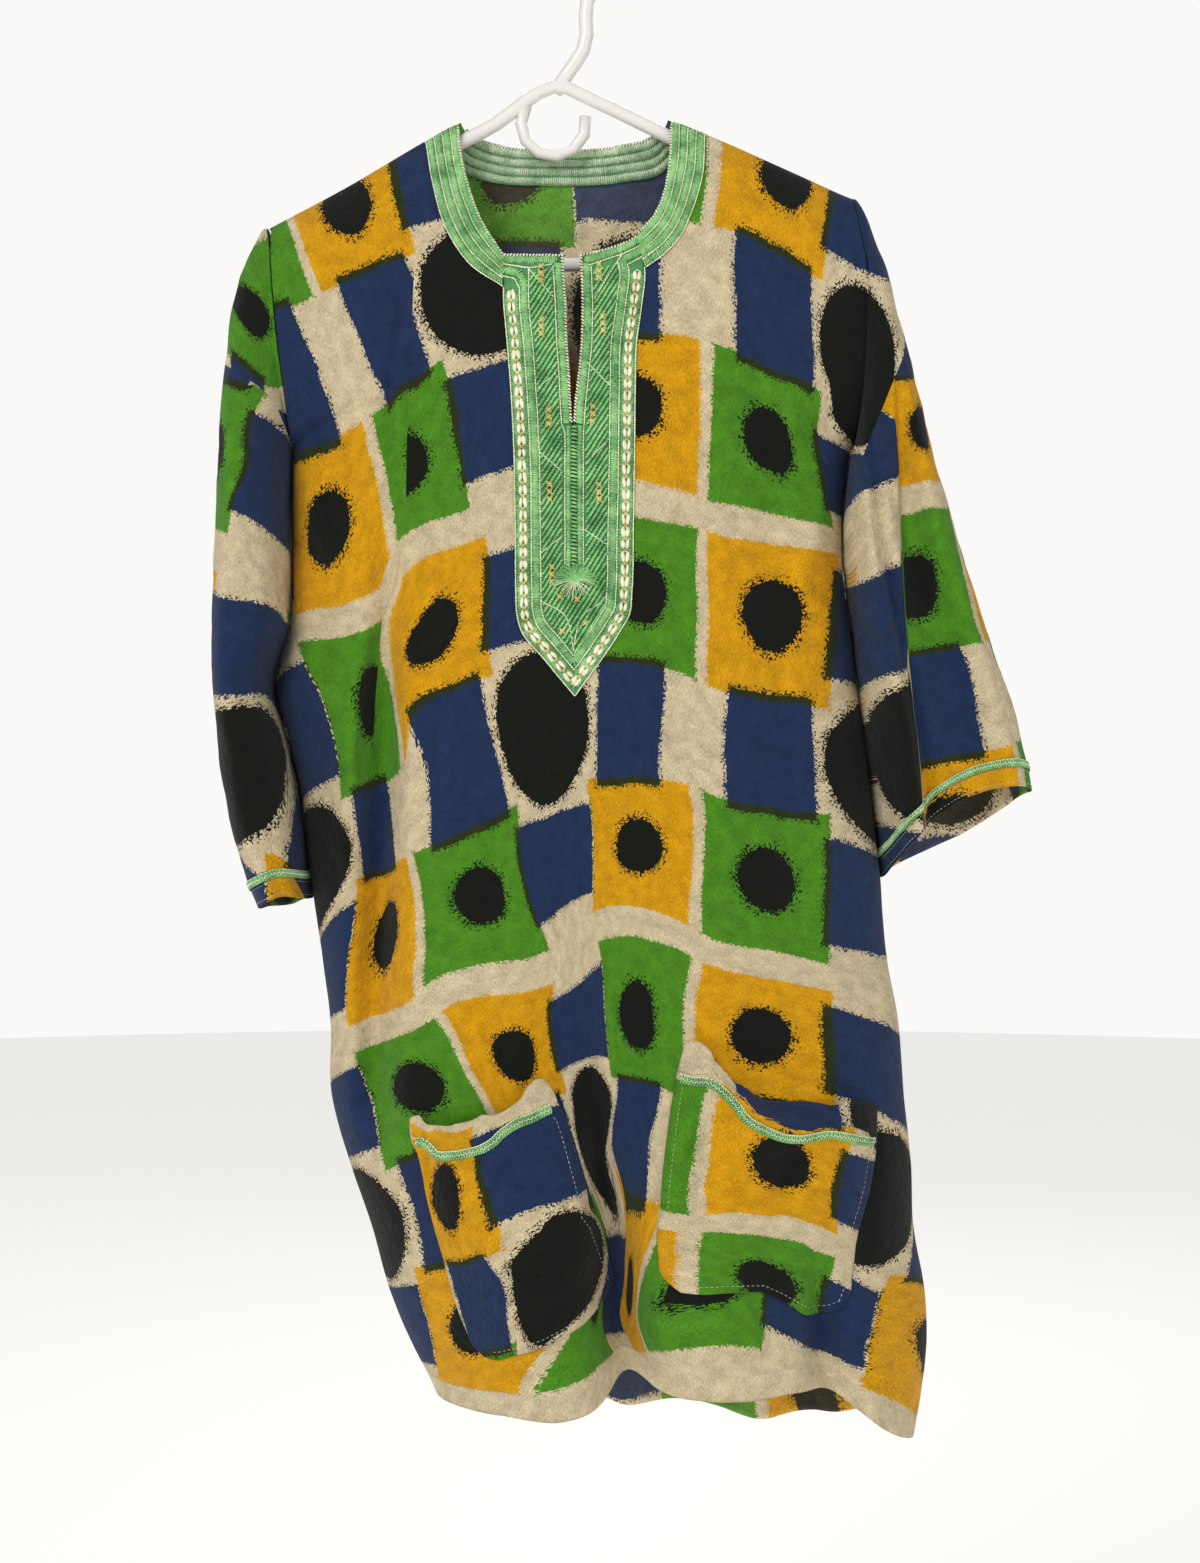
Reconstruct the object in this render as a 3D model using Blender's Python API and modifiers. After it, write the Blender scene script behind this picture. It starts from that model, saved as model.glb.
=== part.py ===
# A dashiki shirt on its tubular hanger, in metres, +Z up, front towards -Y.
# The origin is where the hook bears on its rail, on the inside of the hook's top.
# Sizes below are in millimetres; x runs to the right as the front is seen, y to the back.

import math

import bmesh
import bpy
import numpy as np
from mathutils import Matrix, Vector
from mathutils.bvhtree import BVHTree

MM = 0.001
WALL = 1.8          # cloth with its seam allowances
SEAM = 0.3          # between pieces sewn to each other
LAID = 0.6          # between a panel and what is sewn on it
BRAID = 1.5         # braid and embroidery standing on the cloth

# Body: side edges as seen from the front, how far front and back stand from the hanger's plane,
# and how far back the side seam lies.
BODY_COLUMNS = ("z", "left", "right", "front", "back", "seam")
BODY_ROWS = [
    (-1060, -92, 235, 104, 110, 22),
    (-1016, -99, 243, 103, 108, 24),
    (-985, -115, 247, 101, 106, 26),
    (-950, -130, 246, 98, 104, 26),
    (-904, -143, 238, 95, 101, 24),
    (-857, -159, 236, 91, 98, 22),
    (-812, -171, 231, 88, 94, 20),
    (-760, -172, 227, 83, 89, 18),
    (-717, -177, 219, 79, 84, 15),
    (-648, -187, 213, 73, 77, 12),
    (-601, -192, 207, 69, 72, 10),
    (-560, -201, 202, 66, 68, 8),
    (-525, -209, 197, 64, 64, 6),
    (-498, -201, 194, 62, 61, 5),
    (-440, -197, 187, 58, 56, 3),
    (-400, -197, 187, 54, 51, 1),
    (-360, -197, 193, 50, 46, 0),
    (-330, -199, 203, 46, 42, 0),
    (-300, -202, 207, 42, 38, 0),
    (-260, -206, 204, 35, 31, 0),
    (-220, -210, 197, 28, 25, 0),
    (-180, -213, 192.5, 19, 18, 0),
    (-120, -213.5, 192.5, 9, 11, 0),
]

# The ridge over the hanger, where front and back meet.
RIDGE_COLUMNS = ("x", "z")
RIDGE_ROWS = [
    (-215, -206.9),
    (-160, -177.6),
    (-101, -143),
    (-80, -131.5),
    (0, -124),
    (66, -130),
    (91, -140),
    (150, -166),
    (196, -187),
]

# The hem: height at each share of the way across.
HEM_COLUMNS = ("across", "front", "back")
HEM_ROWS = [
    (0.0, -1016, -1020),
    (0.08, -1014, -1026),
    (0.16, -1012, -1034),
    (0.28, -1012, -1042),
    (0.36, -1004, -1046),
    (0.41, -990, -1050),
    (0.47, -995, -1054),
    (0.62, -998, -1060),
    (0.76, -997, -1060),
    (0.84, -1010, -1056),
    (0.92, -1030, -1052),
    (1.0, -1047, -1049),
]

# Folds: troughs have a negative rise. Each runs from its top to its foot, where it is deepest.
FOLD_COLUMNS = ("top_z", "foot_z", "top_x", "foot_x", "rise", "half_width", "end_z")
FRONT_FOLDS = [
    (-330, -640, -122, -133, -34, 13, -900),
    (-380, -620, -150, -158, 9, 17, -860),
    (-720, -985, 2, 34, -46, 19, -1200),
    (-700, -1000, -30, -34, 15, 44, -1200),
    (-560, -690, -20, -14, -8, 22, -860),
    (-880, -1000, 150, 172, -30, 13, -1200),
    (-820, -1020, 190, 205, 14, 24, -1200),
    (-700, -900, 92, 100, 10, 40, -1200),
    (-250, -330, 120, 128, -7, 18, -560),
    (-240, -330, -95, -92, -7, 16, -520),
]
BACK_FOLDS = [
    (-420, -900, -95, -60, -30, 20, -1200),
    (-560, -960, 10, 30, -36, 22, -1200),
    (-380, -880, 115, 130, -28, 20, -1200),
    (-640, -980, -20, -12, 14, 26, -1200),
    (-520, -940, 75, 82, 16, 28, -1200),
    (-760, -1000, 180, 190, -20, 15, -1200),
    (-300, -420, -40, -30, -9, 26, -620),
]

SHOULDER_LEFT = -213.5
SHOULDER_RIGHT = 192.5
ARMHOLE_DEPTH = 38
SLEEVE_GAP = 0.9
SIDE_GAP = 0.7          # more at the side seams, where the walls turn towards each other
ARMPIT = -360
SHOULDER_ROUND = 60     # over which the cloth falls away from the ridge

# Sleeves: the outermost and innermost point of each ring, its half depth and its middle.
SLEEVE_COLUMNS = ("outer_x", "outer_z", "inner_x", "inner_z", "half_depth", "middle_y")
SLEEVE_ROWS = {
    "left": [
        (-221, -214, -199, -363, 41, 0),
        (-231, -236, -200, -374, 48, 0),
        (-239, -272, -201, -392, 57, 0),
        (-243.5, -322, -201.5, -416, 66, 0),
        (-246.5, -384, -202, -444, 72, 0),
        (-248.5, -445, -204, -478, 76, 0),
        (-249.5, -510, -213, -524, 78, 1),
        (-246, -568, -202, -572, 78, 2),
        (-239, -618, -193, -620, 76, 3),
        (-230, -652, -190, -646, 75, 3),
        (-218, -684, -187, -668, 74, 4),
    ],
    "right": [
        (203, -200, 197, -364, 42, 0),
        (213, -228, 197, -374, 50, 0),
        (222, -258, 196, -388, 57, 0),
        (234, -306, 194, -412, 64, 0),
        (250, -368, 194, -444, 68, 0),
        (268, -432, 198, -482, 70, 2),
        (288, -494, 204, -524, 69, 4),
        (303, -540, 209, -566, 67, 6),
        (313, -578, 214, -608, 65, 8),
        (320, -606, 219, -646, 64, 10),
    ],
}
# Where a cuff rides up (+) or dips (-) round the ring: front, back and outer side.
CUFF_COLUMNS = ("front", "back", "outer", "inner")
CUFF_LIFT = {"left": (4, -4, 3, -6), "right": (22, -10, 6, -14)}
# Long hollow in the front of a sleeve: where round the ring, how deep, how wide, from which ring share.
SLEEVE_FOLD_COLUMNS = ("turn", "rise", "half_turn", "from_share")
SLEEVE_FOLDS = {
    "left": [(0.30, -5, 0.05, 0.25), (0.72, -7, 0.06, 0.2)],
    "right": [(0.24, -26, 0.065, 0.12), (0.345, 9, 0.055, 0.1), (0.70, -12, 0.07, 0.3)],
}

# Neck opening and slit, left edge then right edge, from the ridge down.
NECK_FRONT = {
    "left": [(-82, -118), (-79.8, -155), (-73, -184), (-65, -205), (-56.5, -219.5), (-45, -230)],
    "right": [(67, -118), (65.5, -164), (59.5, -192), (52.5, -205), (40.5, -215), (22, -223.5)],
}
NECK_BACK = [(-82, -118), (-73, -136), (-52, -144.5), (-16, -147), (30, -144.5), (57, -136), (67, -118)]
SLIT_COLUMNS = ("z", "left", "right")
SLIT_ROWS = [
    (-350, -1.5, -0.3),
    (-337, -2.3, 0.3),
    (-316, -3.2, 2.6),
    (-295, -4.9, 4.7),
    (-266, -5.8, 5.3),
    (-231, -8.2, 3.9),
]

# Outer edges of the neck bands, from the ridge down.
BAND_LEFT = {
    "inner": [(-81.6, -131), (-79.3, -155), (-72.5, -184), (-64.7, -205), (-56.2, -220), (-49.3, -229)],
    "outer": [(-103.7, -146), (-98.7, -176), (-91, -206), (-83, -222.5), (-71.5, -238), (-53, -252)],
}
BAND_RIGHT = {
    "inner": [(67, -130), (65.4, -164), (59.4, -192.5), (53.4, -204.5), (48, -209.5), (44, -213)],
    "outer": [(90.3, -141.5), (88.3, -172.5), (80, -202), (72, -218.5), (64.5, -229), (51.5, -239)],
}
BAND_ROWS = 4
BAND_BELOW_RIDGE = 2.6
BAND_BACK_HEIGHT = 24
BAND_BACK_SPREAD = 0.12     # how much longer its lower edge is

# Placket: its outer edges at each height.
PLACKET_COLUMNS = ("z", "left", "right")
PLACKET_ROWS = [
    (-536, 0.6, 3.6),
    (-510, -21, 19.5),
    (-491, -36, 32),
    (-480, -39, 38),
    (-465, -39.7, 39.5),
    (-424, -40.3, 40.4),
    (-380, -40.9, 41.2),
    (-323, -43.8, 42),
    (-295, -46, 42.6),
    (-266, -48.8, 46.5),
    (-231, -48.5, 49),
]
PLACKET_CORNER = 12     # how far the right corner rises to the band

# Pockets: middle of the mouth, size, the mouth's tilt and the sides' lean in degrees, how much
# longer the left side is, each lower corner's cant, the belly and how far the mouth sags.
POCKET_COLUMNS = (
    "mouth_x", "mouth_z", "width", "height", "tilt", "lean", "skew", "cant_left", "cant_right", "belly", "sag"
)
POCKETS = {
    "left": (-64, -803, 95, 166, 12, 17.5, 0.01, 14, 34, 11, 6),
    "right": (136.5, -785, 130, 148, -17, -7, 0.1, 14, 6, 14, 16),
}
POCKET_ACROSS = 10
POCKET_LAID = 0.5
POCKET_CANT_HEIGHT = 26
POCKET_REACH = 5.5    # a pocket clears the folds this near to each of its points
TRIM_WIDTH = 6.8
TRIM_DROP = 6.0
TRIM_LAID = 0.4
TRIM_REACH = 3
TRIM_SHORTER = 0.02   # share by which a trim stops short of the pocket's sides

CUFF_TRIM_WIDTH = 5
CUFF_TRIM_UP = 14

TUFT_AT = (0.6, -455)
TUFT_SIZE = (18, 8)
TUFT_STRANDS = (9, 4)
TUFT_REACH = 8
TUFT_ROOT = 1.2         # thickness of its sewn root
TUFT_INSET = 0.18

# Hanger: one tube bent round, with the hook's stem and a small accessory ring.
TUBE = 5.0
RING_TUBE = 4.2
HANGER_LOOP = [
    (-5, -107), (-60, -135.2), (-130, -171.5), (-192, -203.8), (-203, -211), (-207, -220), (-203, -230),
    (-192, -235), (-100, -232.8), (0, -230.6), (90, -228.6), (170, -226.8), (182, -223), (188, -214),
    (187, -203), (178, -194), (160, -184.5), (90, -153), (20, -119), (4, -111.5),
]
HOOK_ROUTE = [
    (-20, -35), (-22, -19), (-17, -3.5), (0, 5), (17, -3.5), (22, -18), (16.5, -33), (9.5, -43),
    (7.6, -54), (8.2, -70), (5.2, -82), (-1.5, -92), (-8, -101), (-13.5, -110),
]
RING_CENTRE = (-15, -132)
RING_RADIUS = 22.8
RING_FROM, RING_TO = 148, 372     # degrees, anticlockwise from +x
TUBE_STEP = 11.0

BODY_ACROSS = {"front": 40, "back": 28}
BODY_DROPS = (0, 0, 2, 6, 14, 30, 54, 84, 116, 148, 178, 214, 254, 296, 340, 384, 428, 472, 516, 560,
              604, 648, 692, 736, 776, 806, 830)
SLEEVE_RINGS = 13
SLEEVE_ROUND = 24


def column(columns, rows, name):
    return np.array([row[columns.index(name)] for row in rows], float)


def smooth(at, knots, values):
    # A cubic through the values at rising knots, its slopes read from the neighbours.
    slopes = np.gradient(values, knots)
    at = np.clip(np.asarray(at, float), knots[0], knots[-1])
    low = np.clip(np.searchsorted(knots, at, side="right") - 1, 0, len(knots) - 2)
    span = knots[low + 1] - knots[low]
    t = (at - knots[low]) / span
    rise = (1 + 2 * t) * (1 - t) ** 2 * values[low] + t**2 * (3 - 2 * t) * values[low + 1]
    return rise + span * (t * (1 - t) ** 2 * slopes[low] - t**2 * (1 - t) * slopes[low + 1])


def body(name, z):
    return smooth(z, column(BODY_COLUMNS, BODY_ROWS, "z"), column(BODY_COLUMNS, BODY_ROWS, name))


def ridge(x):
    return smooth(x, column(RIDGE_COLUMNS, RIDGE_ROWS, "x"), column(RIDGE_COLUMNS, RIDGE_ROWS, "z"))


def hem(side, across):
    return smooth(across, column(HEM_COLUMNS, HEM_ROWS, "across"), column(HEM_COLUMNS, HEM_ROWS, side))


def ease(t):
    t = np.clip(t, 0, 1)
    return t * t * (3 - 2 * t)


def ridge_above(across):
    return ridge(SHOULDER_LEFT + (SHOULDER_RIGHT - SHOULDER_LEFT) * across)


def tip(side):
    return float(ridge(SHOULDER_LEFT if side == "left" else SHOULDER_RIGHT))


def armhole(side, drop):
    # Half depth of the armhole's oval, this far below the ridge.
    half = (tip(side) - ARMPIT) / 2
    return ARMHOLE_DEPTH * np.sqrt(np.clip(1 - (drop / half - 1) ** 2, 0, 1))


def folds(table, x, z):
    # What the folds add to the cloth's distance from the hanger's plane.
    total = np.zeros_like(x)
    for row in table:
        fold = dict(zip(FOLD_COLUMNS, row))
        share = (fold["top_z"] - z) / (fold["top_z"] - fold["foot_z"])
        middle = fold["top_x"] + (fold["foot_x"] - fold["top_x"]) * np.clip(share, 0, 1.4)
        grown = ease(share) * ease((z - fold["end_z"]) / (0.5 * (fold["foot_z"] - fold["end_z"])))
        wide = fold["half_width"] * (0.6 + 0.4 * ease(share))
        total += fold["rise"] * grown * np.exp(-(((x - middle) / wide) ** 2))
    return total


def panel_y(side, x, z, across):
    # The outer face of the front (-) or back (+) at a place on the body.
    sign, table = (-1, FRONT_FOLDS) if side == "front" else (1, BACK_FOLDS)
    crown = (1 - np.abs(2 * across - 1) ** 2.6) ** (1 / 2.6)
    drop = np.maximum(ridge_above(across) - z, 0)
    edge = np.where(across < 0.5, armhole("left", drop), armhole("right", drop))
    fall = np.clip(drop / SHOULDER_ROUND, 0, 1)
    away = body(side, z) * np.sqrt(1 - (1 - fall) ** 2)
    seam = body("seam", z)
    rest = edge + sign * seam + (away - edge - sign * seam) * crown
    return sign * (rest + SEAM + SIDE_GAP * (1 - crown) + folds(table, x, z) * crown**1.5)


def panel_grid(side, count):
    # Rows from the ridge to the hem, each shared out evenly along the cloth.
    across = (1 - np.cos(np.linspace(0, math.pi, 321))) / 2
    top = ridge_above(across)
    rows = []
    for index, drop in enumerate(BODY_DROPS):
        z = top + (hem(side, across) - top) * drop / BODY_DROPS[-1]
        x = body("left", z) + (body("right", z) - body("left", z)) * across
        if drop == 0:
            x = SHOULDER_LEFT + (SHOULDER_RIGHT - SHOULDER_LEFT) * across
        y = panel_y(side, x, z, across)
        if drop == 0:
            sign = -1 if side == "front" else 1
            y = np.full_like(x, sign * (SEAM / 2 + (2.2 if index else 0)))
        run = np.concatenate([[0], np.cumsum(np.sqrt(np.diff(x) ** 2 + np.diff(y) ** 2 + np.diff(z) ** 2))])
        even = np.linspace(0, run[-1], count + 1)
        rows.append(np.column_stack([np.interp(even, run, values) for values in (x, y, z)]))
    return np.array(rows)


def new_object(name, mesh, colour, roughness):
    shade = bpy.data.materials.new(name + " finish")
    shade.use_nodes = True
    surface = shade.node_tree.nodes["Principled BSDF"]
    surface.inputs["Base Color"].default_value = (*colour, 1)
    surface.inputs["Roughness"].default_value = roughness
    shade.diffuse_color = (*colour, 1)
    mesh.materials.append(shade)
    made = bpy.data.objects.new(name, mesh)
    shirt.objects.link(made)
    return made


def sheet(name, grid, colour, facing, around=False, missing=()):
    # An open surface from a grid of points in millimetres, its faces turned to the given side.
    form = bmesh.new()
    points = [[form.verts.new(Vector(point) * MM) for point in row] for row in grid]
    count = len(grid[0])
    for low in range(len(grid) - 1):
        for left in range(count if around else count - 1):
            if (low, left) in missing:
                continue
            right = (left + 1) % count
            corners = [points[low][left], points[low][right], points[low + 1][right], points[low + 1][left]]
            form.faces.new(corners if facing > 0 else corners[::-1])
    bmesh.ops.delete(form, geom=[v for v in form.verts if not v.link_faces], context="VERTS")
    mesh = bpy.data.meshes.new(name)
    form.to_mesh(mesh)
    form.free()
    mesh.shade_smooth()
    return new_object(name, mesh, colour, 0.9)


def wall(made, thickness, offset):
    thick = made.modifiers.new("Wall", "SOLIDIFY")
    thick.thickness = thickness * MM
    thick.offset = offset
    thick.use_even_offset = False
    thick.use_rim = True


def faces_of(grid):
    # A tree of the panel's own facets, to lay other pieces on.
    count = len(grid[0])
    points = [Vector(point) for row in grid for point in row]
    quads = []
    for low in range(len(grid) - 1):
        for left in range(count - 1):
            first = low * count + left
            quads.append((first, first + 1, first + count + 1))
            quads.append((first, first + count + 1, first + count))
    return BVHTree.FromPolygons(points, quads)


def laid(tree, side, x, z, out, reach=0):
    # A point on the panel below (x, z), moved out; with a reach it clears what stands near it too.
    sign = -1 if side == "front" else 1
    most = 0
    for across, up in ((0, 0), (-1, 0), (1, 0), (0, -1), (0, 1), (-1, -1), (1, 1), (-1, 1), (1, -1)):
        from_point = Vector((x + across * reach, sign * 400, z + up * reach))
        hit = tree.ray_cast(from_point, Vector((0, -sign, 0)))[0]
        if hit is not None:
            most = max(most, sign * hit.y)
    return (x, sign * (most + out), z)


def along(points, count, closed=False):
    # Even points on a smooth line through a route.
    points = np.array(points, float)
    if closed:
        points = np.vstack([points[-2:], points, points[:3]])
    run = np.concatenate([[0], np.cumsum(np.linalg.norm(np.diff(points, axis=0), axis=1))])
    first, last = (run[2], run[-3]) if closed else (0, run[-1])
    even = np.linspace(first, last, count + (1 if closed else 0))
    if closed:
        even = even[:-1]
    return np.column_stack([smooth(even, run, points[:, axis]) for axis in range(points.shape[1])])


def tube(name, route, radius, closed=False):
    length = float(np.linalg.norm(np.diff(np.array(route, float), axis=0), axis=1).sum())
    points = along(route, max(8, int(length / TUBE_STEP)), closed)
    data = bpy.data.curves.new(name, "CURVE")
    data.dimensions = "3D"
    data.bevel_depth = radius * MM
    data.bevel_resolution = 2
    data.use_fill_caps = True
    line = data.splines.new("POLY")
    line.points.add(len(points) - 1)
    for place, (x, z) in zip(line.points, points):
        place.co = (x * MM, 0, z * MM, 1)
    line.use_cyclic_u = closed
    return as_mesh(name, data)


def as_mesh(name, data):
    made = bpy.data.objects.new(name, data)
    bpy.context.scene.collection.objects.link(made)
    graph = bpy.context.evaluated_depsgraph_get()
    mesh = bpy.data.meshes.new_from_object(made.evaluated_get(graph))
    bpy.data.objects.remove(made)
    form = bmesh.new()
    form.from_mesh(mesh)
    bmesh.ops.remove_doubles(form, verts=form.verts, dist=1e-6)
    form.to_mesh(mesh)
    form.free()
    mesh.shade_smooth()
    return mesh


def helper(name, mesh):
    made = bpy.data.objects.new(name, mesh)
    cutters.objects.link(made)
    made.hide_render = True
    made.display_type = "WIRE"
    return made


def boolean(made, other, operation):
    change = made.modifiers.new(other.name, "BOOLEAN")
    change.operation = operation
    change.object = other
    change.solver = "EXACT"


def flat_cutter(name, outline, near_y, far_y):
    # A flat outline in x and z, pushed through from one depth to another.
    data = bpy.data.curves.new(name, "CURVE")
    data.dimensions = "2D"
    data.fill_mode = "BOTH"
    data.extrude = abs(far_y - near_y) / 2 * MM
    line = data.splines.new("POLY")
    line.points.add(len(outline) - 1)
    for place, (x, z) in zip(line.points, outline):
        place.co = (x * MM, z * MM, 0, 1)
    line.use_cyclic_u = True
    mesh = as_mesh(name, data)
    for point in mesh.vertices:
        x, z, y = point.co
        point.co = (x, (near_y + far_y) / 2 * MM - y, z)
    return helper(name, mesh)


def make_hanger():
    made = new_object("hanger", tube("hanger", HANGER_LOOP, TUBE, closed=True), (0.80, 0.77, 0.73), 0.25)
    hook = helper("hook", tube("hook", HOOK_ROUTE, TUBE))
    turns = np.radians(np.linspace(RING_FROM, RING_TO, 17))
    bow = np.array(RING_CENTRE) + RING_RADIUS * np.column_stack([np.cos(turns), np.sin(turns)])
    ring = helper("ring", tube("ring", bow, RING_TUBE))
    boolean(made, hook, "UNION")
    boolean(made, ring, "UNION")


def make_front():
    grid = panel_grid("front", BODY_ACROSS["front"])
    made = sheet("front", grid, (0.16, 0.30, 0.10), -1)
    wall(made, WALL, -1)
    left = along(NECK_FRONT["left"], 16)
    right = along(NECK_FRONT["right"], 16)
    slit_z = column(SLIT_COLUMNS, SLIT_ROWS, "z")
    down = np.linspace(slit_z[-1], slit_z[0], 7)
    slit_left = np.column_stack([np.interp(down, slit_z, column(SLIT_COLUMNS, SLIT_ROWS, "left")), down])
    slit_right = np.column_stack([np.interp(down, slit_z, column(SLIT_COLUMNS, SLIT_ROWS, "right")), down])
    outline = np.vstack([left, slit_left, slit_right[::-1], right[::-1]])
    boolean(made, flat_cutter("front_neck", outline, -90, -0.02), "DIFFERENCE")
    return faces_of(grid)


def make_back():
    grid = panel_grid("back", BODY_ACROSS["back"])
    made = sheet("back", grid, (0.14, 0.26, 0.09), 1)
    wall(made, WALL, -1)
    outline = np.vstack([along(NECK_BACK, 26), [(67, -100), (-82, -100)]])
    boolean(made, flat_cutter("back_neck", outline, 0.02, 90), "DIFFERENCE")
    return faces_of(grid)


def sleeve_ring(side, share, turns):
    # One ring of a sleeve: turn 0 at the outer side, a quarter turn at the front.
    rows = SLEEVE_ROWS[side]
    knots = np.linspace(0, 1, len(rows))
    values = {name: smooth(share, knots, column(SLEEVE_COLUMNS, rows, name)) for name in SLEEVE_COLUMNS}
    angle = 2 * math.pi * turns
    outward = np.sign(np.cos(angle)) * np.abs(np.cos(angle)) ** 0.86
    forward = np.sign(np.sin(angle)) * np.abs(np.sin(angle)) ** 0.86
    middle_x = (values["outer_x"] + values["inner_x"]) / 2
    middle_z = (values["outer_z"] + values["inner_z"]) / 2
    x = middle_x + (values["outer_x"] - values["inner_x"]) / 2 * outward
    z = middle_z + (values["outer_z"] - values["inner_z"]) / 2 * outward
    depth = values["half_depth"]
    for row in SLEEVE_FOLDS[side]:
        fold = dict(zip(SLEEVE_FOLD_COLUMNS, row))
        near = np.exp(-(((turns - fold["turn"]) / fold["half_turn"]) ** 2))
        depth = depth + fold["rise"] * near * ease((share - fold["from_share"]) / 0.35)
    y = values["middle_y"] - depth * forward
    cuff = dict(zip(CUFF_COLUMNS, CUFF_LIFT[side]))
    lift = np.where(forward > 0, cuff["front"], cuff["back"]) * forward**2
    lift = lift + np.where(outward > 0, cuff["outer"], cuff["inner"]) * outward**2
    return np.column_stack([x, y, z + lift * ease((share - 0.55) / 0.45)])


def armhole_ring(side, turns, out):
    # The first ring lies against the armhole's edge, all round.
    angle = 2 * math.pi * turns
    middle = (tip(side) + ARMPIT) / 2
    half = (tip(side) - ARMPIT) / 2
    z = middle + half * np.cos(angle)
    sign = -1 if side == "left" else 1
    shoulder = SHOULDER_LEFT if side == "left" else SHOULDER_RIGHT
    edge = body(side, z) + (shoulder - body(side, tip(side))) * ease((z - tip(side) + 20) / 20)
    return np.column_stack([edge + sign * out, -(ARMHOLE_DEPTH + SEAM) * np.sin(angle), z])


def sleeve_grid(side):
    turns = np.linspace(0, 1, SLEEVE_ROUND, endpoint=False)
    rings = [armhole_ring(side, turns, SLEEVE_GAP), armhole_ring(side, turns, SLEEVE_GAP + WALL)]
    for share in np.linspace(0, 1, SLEEVE_RINGS):
        rings.append(sleeve_ring(side, share, turns))
    return np.array(rings)


def make_sleeve(side):
    facing = -1 if side == "left" else 1
    made = sheet("sleeve_" + side, sleeve_grid(side), (0.15, 0.28, 0.10), facing, around=True)
    wall(made, WALL, -1)


def make_cuff_trim(side):
    # A narrow braid round the sleeve, a little above the cuff.
    turns = np.linspace(0, 1, SLEEVE_ROUND, endpoint=False)
    low, high = sleeve_ring(side, 1.0, turns), sleeve_ring(side, 1 - 1 / (SLEEVE_RINGS - 1), turns)
    drop = np.linalg.norm(high - low, axis=1)[:, None]
    middle = low.mean(axis=0)
    away = low - middle
    away[:, 2] = 0
    away /= np.linalg.norm(away, axis=1)[:, None]
    rows = []
    for up in (CUFF_TRIM_UP + CUFF_TRIM_WIDTH, CUFF_TRIM_UP):
        rows.append(low + (high - low) * up / drop + away * (LAID + 0.3))
    facing = -1 if side == "left" else 1
    made = sheet("cuff_trim_" + side, np.array(rows), (0.12, 0.45, 0.14), facing, around=True)
    wall(made, BRAID * 0.7, 1)


def make_band(side, tree, edges):
    # Braid rows side by side, standing up between their stitched valleys.
    inner, outer = along(edges["inner"], 13), along(edges["outer"], 13)
    rows = []
    for share in np.linspace(0, 1, 2 * BAND_ROWS + 1):
        line = inner + (outer - inner) * share
        line[:, 1] = np.minimum(line[:, 1], ridge(line[:, 0]) - BAND_BELOW_RIDGE)
        rows.append([laid(tree, "front", x, z, LAID) for x, z in line])
    name = "neck_band_" + side
    made = sheet(name, np.array(rows), (0.13, 0.50, 0.16), 1 if side == "right" else -1)
    wall(made, BRAID, 1)


def make_back_band(tree):
    line = along(NECK_BACK[1:-1], 13)
    rows = []
    for share in np.linspace(0, 1, 2 * BAND_ROWS + 1):
        spread, drop = 1 + BAND_BACK_SPREAD * share, 0.4 + BAND_BACK_HEIGHT * share
        rows.append([laid(tree, "back", x * spread, z - drop, LAID) for x, z in line])
    made = sheet("neck_band_back", np.array(rows), (0.13, 0.50, 0.16), 1)
    wall(made, BRAID, 1)


def make_placket(tree):
    # Left and right of the slit, joined below its foot.
    z_rows = column(PLACKET_COLUMNS, PLACKET_ROWS, "z")
    left_edge = column(PLACKET_COLUMNS, PLACKET_ROWS, "left")
    right_edge = column(PLACKET_COLUMNS, PLACKET_ROWS, "right")
    slit_z = column(SLIT_COLUMNS, SLIT_ROWS, "z")
    levels = np.concatenate([np.linspace(z_rows[-1], slit_z[0], 8), np.linspace(slit_z[0], z_rows[0], 13)[1:]])
    rows = []
    for z in levels:
        slit_left = np.interp(z, slit_z, column(SLIT_COLUMNS, SLIT_ROWS, "left"))
        slit_right = np.interp(z, slit_z, column(SLIT_COLUMNS, SLIT_ROWS, "right"))
        left, right = np.interp(z, z_rows, left_edge), np.interp(z, z_rows, right_edge)
        centre = (left + right) / 2
        closing = ease((slit_z[0] - z) / 60)
        slit_left = min(slit_left + (centre - 0.6 - slit_left) * closing, centre - 0.3)
        slit_right = max(slit_right + (centre + 0.6 - slit_right) * closing, slit_left + 0.6)
        row = []
        for share in np.linspace(0, 1, 6):
            row.append(laid(tree, "front", left + (slit_left - left) * share, z, LAID))
        rising = PLACKET_CORNER * ease((z - slit_z[0]) / (z_rows[-1] - slit_z[0])) ** 3
        for share in np.linspace(0, 1, 6):
            x = slit_right + (right - slit_right) * share
            row.append(laid(tree, "front", x - 7 * share * rising / PLACKET_CORNER, z + rising * share, LAID))
        rows.append(row)
    missing = {(low, 5) for low in range(7)}
    made = sheet("placket", np.array(rows), (0.20, 0.55, 0.18), -1, missing=missing)
    wall(made, BRAID, 1)


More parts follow.
